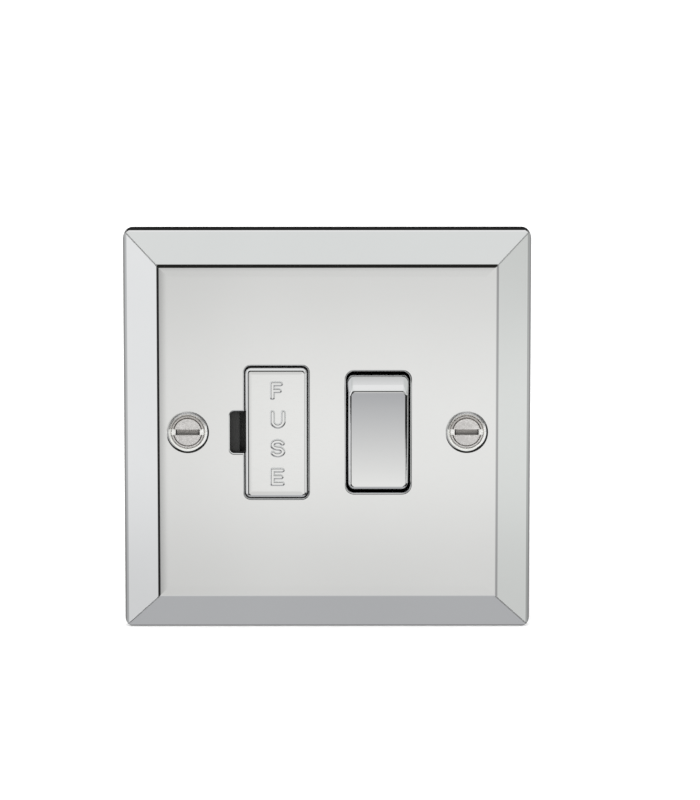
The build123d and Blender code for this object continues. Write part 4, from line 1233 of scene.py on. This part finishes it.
@dataclass
class FuseLettering:
    """The raised word on the drawer's cover: rounded strokes read from top to bottom."""

    U_STEPS = 25
    S_STEPS = 30
    S_UPPER_DEG = (25.0, 270.0)
    S_LOWER_DEG = (90.0, -155.0)
    LEAST_RUN = 1e-9

    height_mm: float = 4.16
    pitch_mm: float = 6.36
    middle_mm: float = -0.12
    left_mm: float = -1.42
    stroke_mm: float = 1.16
    short_arm_mm: float = 0.25
    edge_mm: float = 0.36
    raise_mm: float = 0.14
    sink_mm: float = 0.06
    cell_mm: float = 0.045

    @property
    def face_mm(self) -> float:
        """Depth of the cover's face."""
        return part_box("fuse_cover")[0].y / MM

    def strokes(self, glyph: Glyph) -> list[np.ndarray]:
        """Centre lines of a letter's strokes, with its box's lower left corner at the origin.

        Args:
            glyph: The letter.

        Returns:
            Paths of points, one array for each stroke.
        """
        inset = self.stroke_mm / 2.0
        left, right = inset, glyph.value - inset
        foot, head = inset, self.height_mm - inset
        middle, waist = (left + right) / 2.0, (foot + head) / 2.0
        half = (right - left) / 2.0
        if glyph is Glyph.U:
            sweep = np.linspace(math.pi, TURN, self.U_STEPS)
            bowl = np.stack((middle + half * np.cos(sweep), foot + half + half * np.sin(sweep)), axis=-1)
            return [np.concatenate((((left, head),), bowl, ((right, head),)))]
        if glyph is Glyph.S:
            tall = (head - foot) / 4.0
            bends = []
            for turn, level in ((self.S_UPPER_DEG, waist + tall), (self.S_LOWER_DEG, waist - tall)):
                sweep = np.radians(np.linspace(*turn, self.S_STEPS))
                bend = (middle + half * np.cos(sweep), level + tall * np.sin(sweep))
                bends.append(np.stack(bend, axis=-1))
            return [np.concatenate(bends)]
        stem = ((left, foot), (left, head))
        arms = [((left, head), (right, head)), ((left, waist), (right - self.short_arm_mm, waist))]
        if glyph is Glyph.E:
            arms.append(((left, foot), (right, foot)))
        return [np.array(stroke) for stroke in (stem, *arms)]

    def distance(self, across: np.ndarray, up: np.ndarray, path: np.ndarray) -> np.ndarray:
        """Distance from grid points to the nearest part of a path.

        Each run of the path gives the distance to its nearest point, which is its start plus its
        direction times the share of the run, clipped to the run; the least over the runs is kept.

        Args:
            across: Grid coordinates across.
            up: Grid coordinates up.
            path: Points of the path.

        Returns:
            Distances, shaped as the grid.
        """
        points = np.stack((across, up), axis=-1)[..., None, :]
        start, run = path[:-1], np.diff(path, axis=0)
        length = np.maximum((run**2).sum(-1), self.LEAST_RUN)
        share = np.clip(((points - start) * run).sum(-1) / length, 0.0, 1.0)
        nearest = start + share[..., None] * run
        return np.linalg.norm(points - nearest, axis=-1).min(axis=-1)

    def add_letter(self, surface: SurfaceMesh, glyph: Glyph, x: float, z: float) -> None:
        """Add one letter as a height over a grid, closed by a flat back below the cover's face.

        The height is the raise times an ease of how far a point lies inside the stroke's edge. Points
        outside it lie at the sink below the face, so that the rim of the letter is hidden.

        Args:
            surface: The surface that it joins.
            glyph: The letter.
            x: Left side of its box.
            z: Foot of its box.
        """
        margin = 2.0 * self.cell_mm
        columns = np.arange(-margin, glyph.value + margin, self.cell_mm)
        rows = np.arange(-margin, self.height_mm + margin, self.cell_mm)
        across, up = np.meshgrid(columns, rows)
        away = np.min([self.distance(across, up, path) for path in self.strokes(glyph)], axis=0)
        inside = (self.stroke_mm / 2.0 - away) / self.edge_mm
        kept = inside > 0.0
        height = np.where(kept, self.raise_mm * smoothstep(inside), -self.sink_mm)
        faces = grid_faces(np.arange(across.size).reshape(across.shape))
        faces = faces[kept.reshape(-1)[faces].any(axis=-1)]
        used, packed = np.unique(faces, return_inverse=True)
        for level in (height, np.full_like(height, -self.sink_mm)):
            points = np.stack((x + across, self.face_mm - level, z + up), axis=-1).reshape(-1, 3)
            surface.add_faces(points[used], packed.reshape(faces.shape))

    def build(self, finish: bpy.types.Material) -> bpy.types.Object:
        """Make the word as one piece on the cover.

        Args:
            finish: The cover's material.

        Returns:
            The piece.
        """
        low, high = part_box("fuse_cover")
        x = (low.x + high.x) / 2.0 / MM + self.left_mm
        glyphs = list(Glyph)
        top = self.middle_mm + self.pitch_mm * (len(glyphs) - 1) / 2.0 - self.height_mm / 2.0
        surface = SurfaceMesh("fuse_lettering")
        for place, glyph in enumerate(glyphs):
            self.add_letter(surface, glyph, x, top - place * self.pitch_mm)
        return settle(surface.build(sharp_deg=60.0), finish, Body.DRAWER)


# Studio


@dataclass(frozen=True)
class Card:
    """A soft-edged patch of the tent round the unit, as the metal shows it.

    Angles are degrees: azimuth from straight ahead (or straight behind) to the right, elevation from
    the horizon up, and the fade at the left, right, foot and head.
    """

    name: str
    azimuth: Pair
    elevation: Pair
    tone: Triple
    fade: tuple[float, float, float, float] = (3.0, 3.0, 3.0, 3.0)
    behind: bool = False
    edge: Edge = Edge.SMOOTH
    lay: Lay = Lay.COVER


@dataclass(frozen=True)
class Lamp:
    """A soft square lamp that points at the unit and isn't mirrored in it."""

    name: str
    place_m: Triple
    size_m: float
    watts: float

    def hang(self) -> None:
        """Put the lamp in the scene."""
        data = bpy.data.lights.new(self.name, "AREA")
        data.size = self.size_m
        data.energy = self.watts
        lamp = bpy.data.objects.new(self.name, data)
        lamp.location = self.place_m
        lamp.rotation_euler = (-Vector(self.place_m)).to_track_quat("-Z", "Y").to_euler()
        lamp.visible_glossy = False
        bpy.context.scene.collection.objects.link(lamp)


class Studio:
    """Pale floor, soft lamps, and a white tent with grey and dark cards for the chrome to show."""

    FLOOR_SIZE_M = 12.0
    FLOOR_TONE = (0.86, 0.86, 0.86)
    FLOOR_GLOW = 0.2
    PLAIN_LIGHT = 0.75
    WHITE = (1.0, 1.0, 1.0)
    TENT = (0.9, 0.9, 0.9)
    ALL_ROUND = (-180.0, 180.0)
    LAMPS = (
        Lamp("key_lamp", (-0.55, -0.75, 0.95), 0.8, 9.0),
        Lamp("fill_lamp", (0.8, -0.45, 0.5), 0.7, 4.0),
        Lamp("back_lamp", (0.25, 0.8, 0.8), 0.8, 5.0),
    )
    CARDS = (
        Card("sides", (-100, 100), (-40, 30), (0.46, 0.46, 0.46), (28, 28, 10, 10), behind=True),
        Card("ceiling", ALL_ROUND, (29, 90), (0.873, 0.89, 0.88)),
        Card("zenith", ALL_ROUND, (78, 90), (1.0, 1.0, 1.0), (3, 3, 20, 3)),
        Card("front", (-75, 75), (-40, -9), (0.995, 0.995, 0.975), (15, 15, 2, 3)),
        Card("table", ALL_ROUND, (-90, -38), (0.525, 0.531, 0.543), (3, 3, 3, 20), edge=Edge.STRAIGHT),
        Card("under", (-80, 80), (-90, -40), (0.28, 0.28, 0.28), (15, 15, 3, 15), behind=True),
        Card("dark_room", (-30, 34), (-6, 24), (0.02, 0.02, 0.018), (6, 8, 4.2, 4)),
        Card("left_flag", (-32, -6.4), (-30, 24), (0.03, 0.03, 0.03), (4, 4.5, 6, 4), edge=Edge.STRAIGHT),
        Card("right_flag", (26, 38), (-40, 24), (0.5, 0.5, 0.5), (10, 3, 8, 4)),
        Card("left_card", (-66, -36), (-30, 36), (0.976, 0.985, 0.99), (24, 3, 14, 8)),
        Card("right_card", (41, 60), (-30, 36), (0.89, 0.91, 0.888), (2.5, 24, 14, 8)),
        Card("left_low_flag", (-60, -10), (-46, -33), (0.03, 0.03, 0.03), (8, 4, 4, 6)),
        Card("right_low_flag", (10, 96), (-46, -31), (0.03, 0.03, 0.03), (4, 8, 4, 8)),
        Card("right_wing", (46, 112), (-46, -22), (0.03, 0.03, 0.03), (6, 8, 4, 5)),
        Card("upper_shade", (-20, 75), (-10.8, 5), (0.82, 0.82, 0.82), (6, 10, 1.6, 3), lay=Lay.SHADE),
        Card("lower_shade", ALL_ROUND, (-16.6, -14.1), (0.81, 0.81, 0.81), (3, 3, 1.2, 1.4), lay=Lay.SHADE),
        Card("left_shade", (-20, -1.5), (-20, -8), (0.93, 0.93, 0.93), (3, 1.2, 3, 3), lay=Lay.SHADE),
        Card("dark_behind", (-30, 30), (2, 74), (0.02, 0.02, 0.02), (10, 10, 3, 4), behind=True),
    )

    def build(self) -> None:
        """Make the floor, the lamps and the tent."""
        self._floor()
        for lamp in self.LAMPS:
            lamp.hang()
        self._tent()
        LOG.info("studio set with %d cards", len(self.CARDS))

    def _floor(self) -> None:
        """A wide sheet at the unit's lowest point, white in the picture and shaded by the unit."""
        half = self.FLOOR_SIZE_M / 2.0
        level = CAD_BOX[0].z
        corners = [(-half, -half, level), (half, -half, level), (half, half, level), (-half, half, level)]
        mesh = bpy.data.meshes.new("studio_floor")
        mesh.from_pydata(corners, [], [(0, 1, 2, 3)])
        floor = bpy.data.objects.new("studio_floor", mesh)
        bpy.context.scene.collection.objects.link(floor)
        floor.visible_glossy = False
        bench = Bench("floor_paper")
        bench.set(Base_Color=(*self.FLOOR_TONE, 1.0), Roughness=0.9, Specular_IOR_Level=0.0)
        bench.set(Emission_Color=(*self.WHITE, 1.0))
        seen = bench.add("ShaderNodeLightPath").outputs["Is Camera Ray"]
        bench.join(bench.math("MULTIPLY", seen, self.FLOOR_GLOW), "Emission Strength")
        mesh.materials.append(bench.material)

    def _tent(self) -> None:
        """World: white to the camera, cards to the metal, and plain even light to the rest."""
        world = bpy.data.worlds.new("studio_tent")
        bpy.context.scene.world = world
        world.use_nodes = True
        world.node_tree.nodes.clear()
        sheet = NodeSheet(world.node_tree)
        paths = sheet.add("ShaderNodeLightPath").outputs
        backdrop = sheet.mix(paths["Is Camera Ray"], self._card_tones(sheet), self.WHITE)
        shown, plain = sheet.add("ShaderNodeBackground"), sheet.add("ShaderNodeBackground")
        sheet.feed(shown.inputs["Color"], backdrop)
        sheet.feed(plain.inputs["Color"], self.WHITE)
        sheet.feed(plain.inputs["Strength"], self.PLAIN_LIGHT)
        seen = sheet.math("MAXIMUM", paths["Is Camera Ray"], paths["Is Glossy Ray"])
        seen = sheet.math("MAXIMUM", seen, paths["Is Transmission Ray"])
        choose = sheet.add("ShaderNodeMixShader")
        for socket, source in zip(choose.inputs, (seen, plain.outputs[0], shown.outputs[0])):
            sheet.feed(socket, source)
        sheet.feed(sheet.add("ShaderNodeOutputWorld").inputs["Surface"], choose.outputs[0])

    def _card_tones(self, sheet: NodeSheet) -> Socket:
        """Lay the cards over the tent, one after another, by azimuth and elevation.

        Args:
            sheet: The world's nodes.

        Returns:
            The colour in each direction.
        """
        direction = sheet.add("ShaderNodeTexCoord").outputs["Generated"]
        x, y, z = sheet.split(direction)
        forwards = sheet.math("MULTIPLY", y, -1.0)
        angles = (
            sheet.math("ARCTAN2", x, forwards), sheet.math("ARCTAN2", x, y), sheet.math("ARCSINE", z),
        )
        ahead, rear, height = (sheet.math("MULTIPLY", angle, math.degrees(1.0)) for angle in angles)
        tone: object = self.TENT
        for card in self.CARDS:
            side = rear if card.behind else ahead
            (left, right), (foot, head) = card.azimuth, card.elevation
            masks = (
                sheet.span(side, 0.0, 1.0, left - card.fade[0], left, card.edge),
                sheet.span(side, 1.0, 0.0, right, right + card.fade[1], card.edge),
                sheet.span(height, 0.0, 1.0, foot - card.fade[2], foot, card.edge),
                sheet.span(height, 1.0, 0.0, head, head + card.fade[3], card.edge),
            )
            tone = sheet.mix(sheet.overlap(*masks), tone, card.tone, card.lay)
        return tone


@dataclass
class PhotoCamera:
    """Long-lens camera, a little above the unit, that frames it as the photograph does."""

    pitch_deg: float = 12.585
    roll_deg: float = -0.03
    distance_mm: float = 1400.0
    pixels_per_mm: float = 4.6275
    image_px: tuple[int, int] = (700, 800)
    middle_px: Pair = (327.2, 432.3)
    sensor_mm: float = 36.0
    clip_m: Pair = (0.05, 50.0)

    def build(self, target: Vector) -> bpy.types.Object:
        """Aim past the target so that it lands on its pixel.

        Args:
            target: Middle of the plate's field, in metres.

        Returns:
            The camera.
        """
        pitch, roll = math.radians(self.pitch_deg), math.radians(self.roll_deg)
        back = Vector((0.0, -math.cos(pitch), math.sin(pitch)))
        right = Vector((1.0, 0.0, 0.0))
        up = back.cross(right)
        place = target + back * self.distance_mm * MM
        width, height = self.image_px
        aside = (width / 2.0 - self.middle_px[0]) / self.pixels_per_mm * MM
        above = (self.middle_px[1] - height / 2.0) / self.pixels_per_mm * MM
        back = (place - (target + right * aside + up * above)).normalized()
        right = (right - back * right.dot(back)).normalized()
        up = back.cross(right)
        level, plumb = right, up
        right = level * math.cos(roll) + plumb * math.sin(roll)
        up = plumb * math.cos(roll) - level * math.sin(roll)
        data = bpy.data.cameras.new("photo_camera")
        data.sensor_width = self.sensor_mm
        data.lens = self.pixels_per_mm * self.distance_mm * self.sensor_mm / height
        data.clip_start, data.clip_end = self.clip_m
        camera = bpy.data.objects.new("photo_camera", data)
        axes = Matrix((right, up, back)).transposed()
        camera.matrix_world = Matrix.Translation(place) @ axes.to_4x4()
        bpy.context.scene.collection.objects.link(camera)
        bpy.context.scene.camera = camera
        return camera


def main() -> None:
    """Dress the solids, add the fine pieces, then set the studio and the camera."""
    logging.basicConfig(level=logging.INFO, format="%(name)s: %(message)s")
    bpy.context.scene.view_settings.view_transform = "Standard"
    plate_low, plate_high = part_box("front_plate")
    screws, word = FixingScrews(), FuseLettering()
    wardrobe = Wardrobe(plate_high.x / MM, screws, word)
    wardrobe.dress_solids(frame["nodes"])
    screws.build(wardrobe["screw_nickel"])
    TerminalScrews().build(wardrobe["terminal_zinc"])
    studs = PlateStuds()
    studs.build_studs(wardrobe["stud_zinc"])
    studs.build_nuts(wardrobe["stud_zinc"])
    for pole in Pole:
        PlungerSpring(pole).build(wardrobe["spring_wire"])
    word.build(wardrobe["word_chrome"])
    Studio().build()
    PhotoCamera().build(Vector((0.0, plate_low.y, 0.0)))


if __name__ == "__main__":
    main()
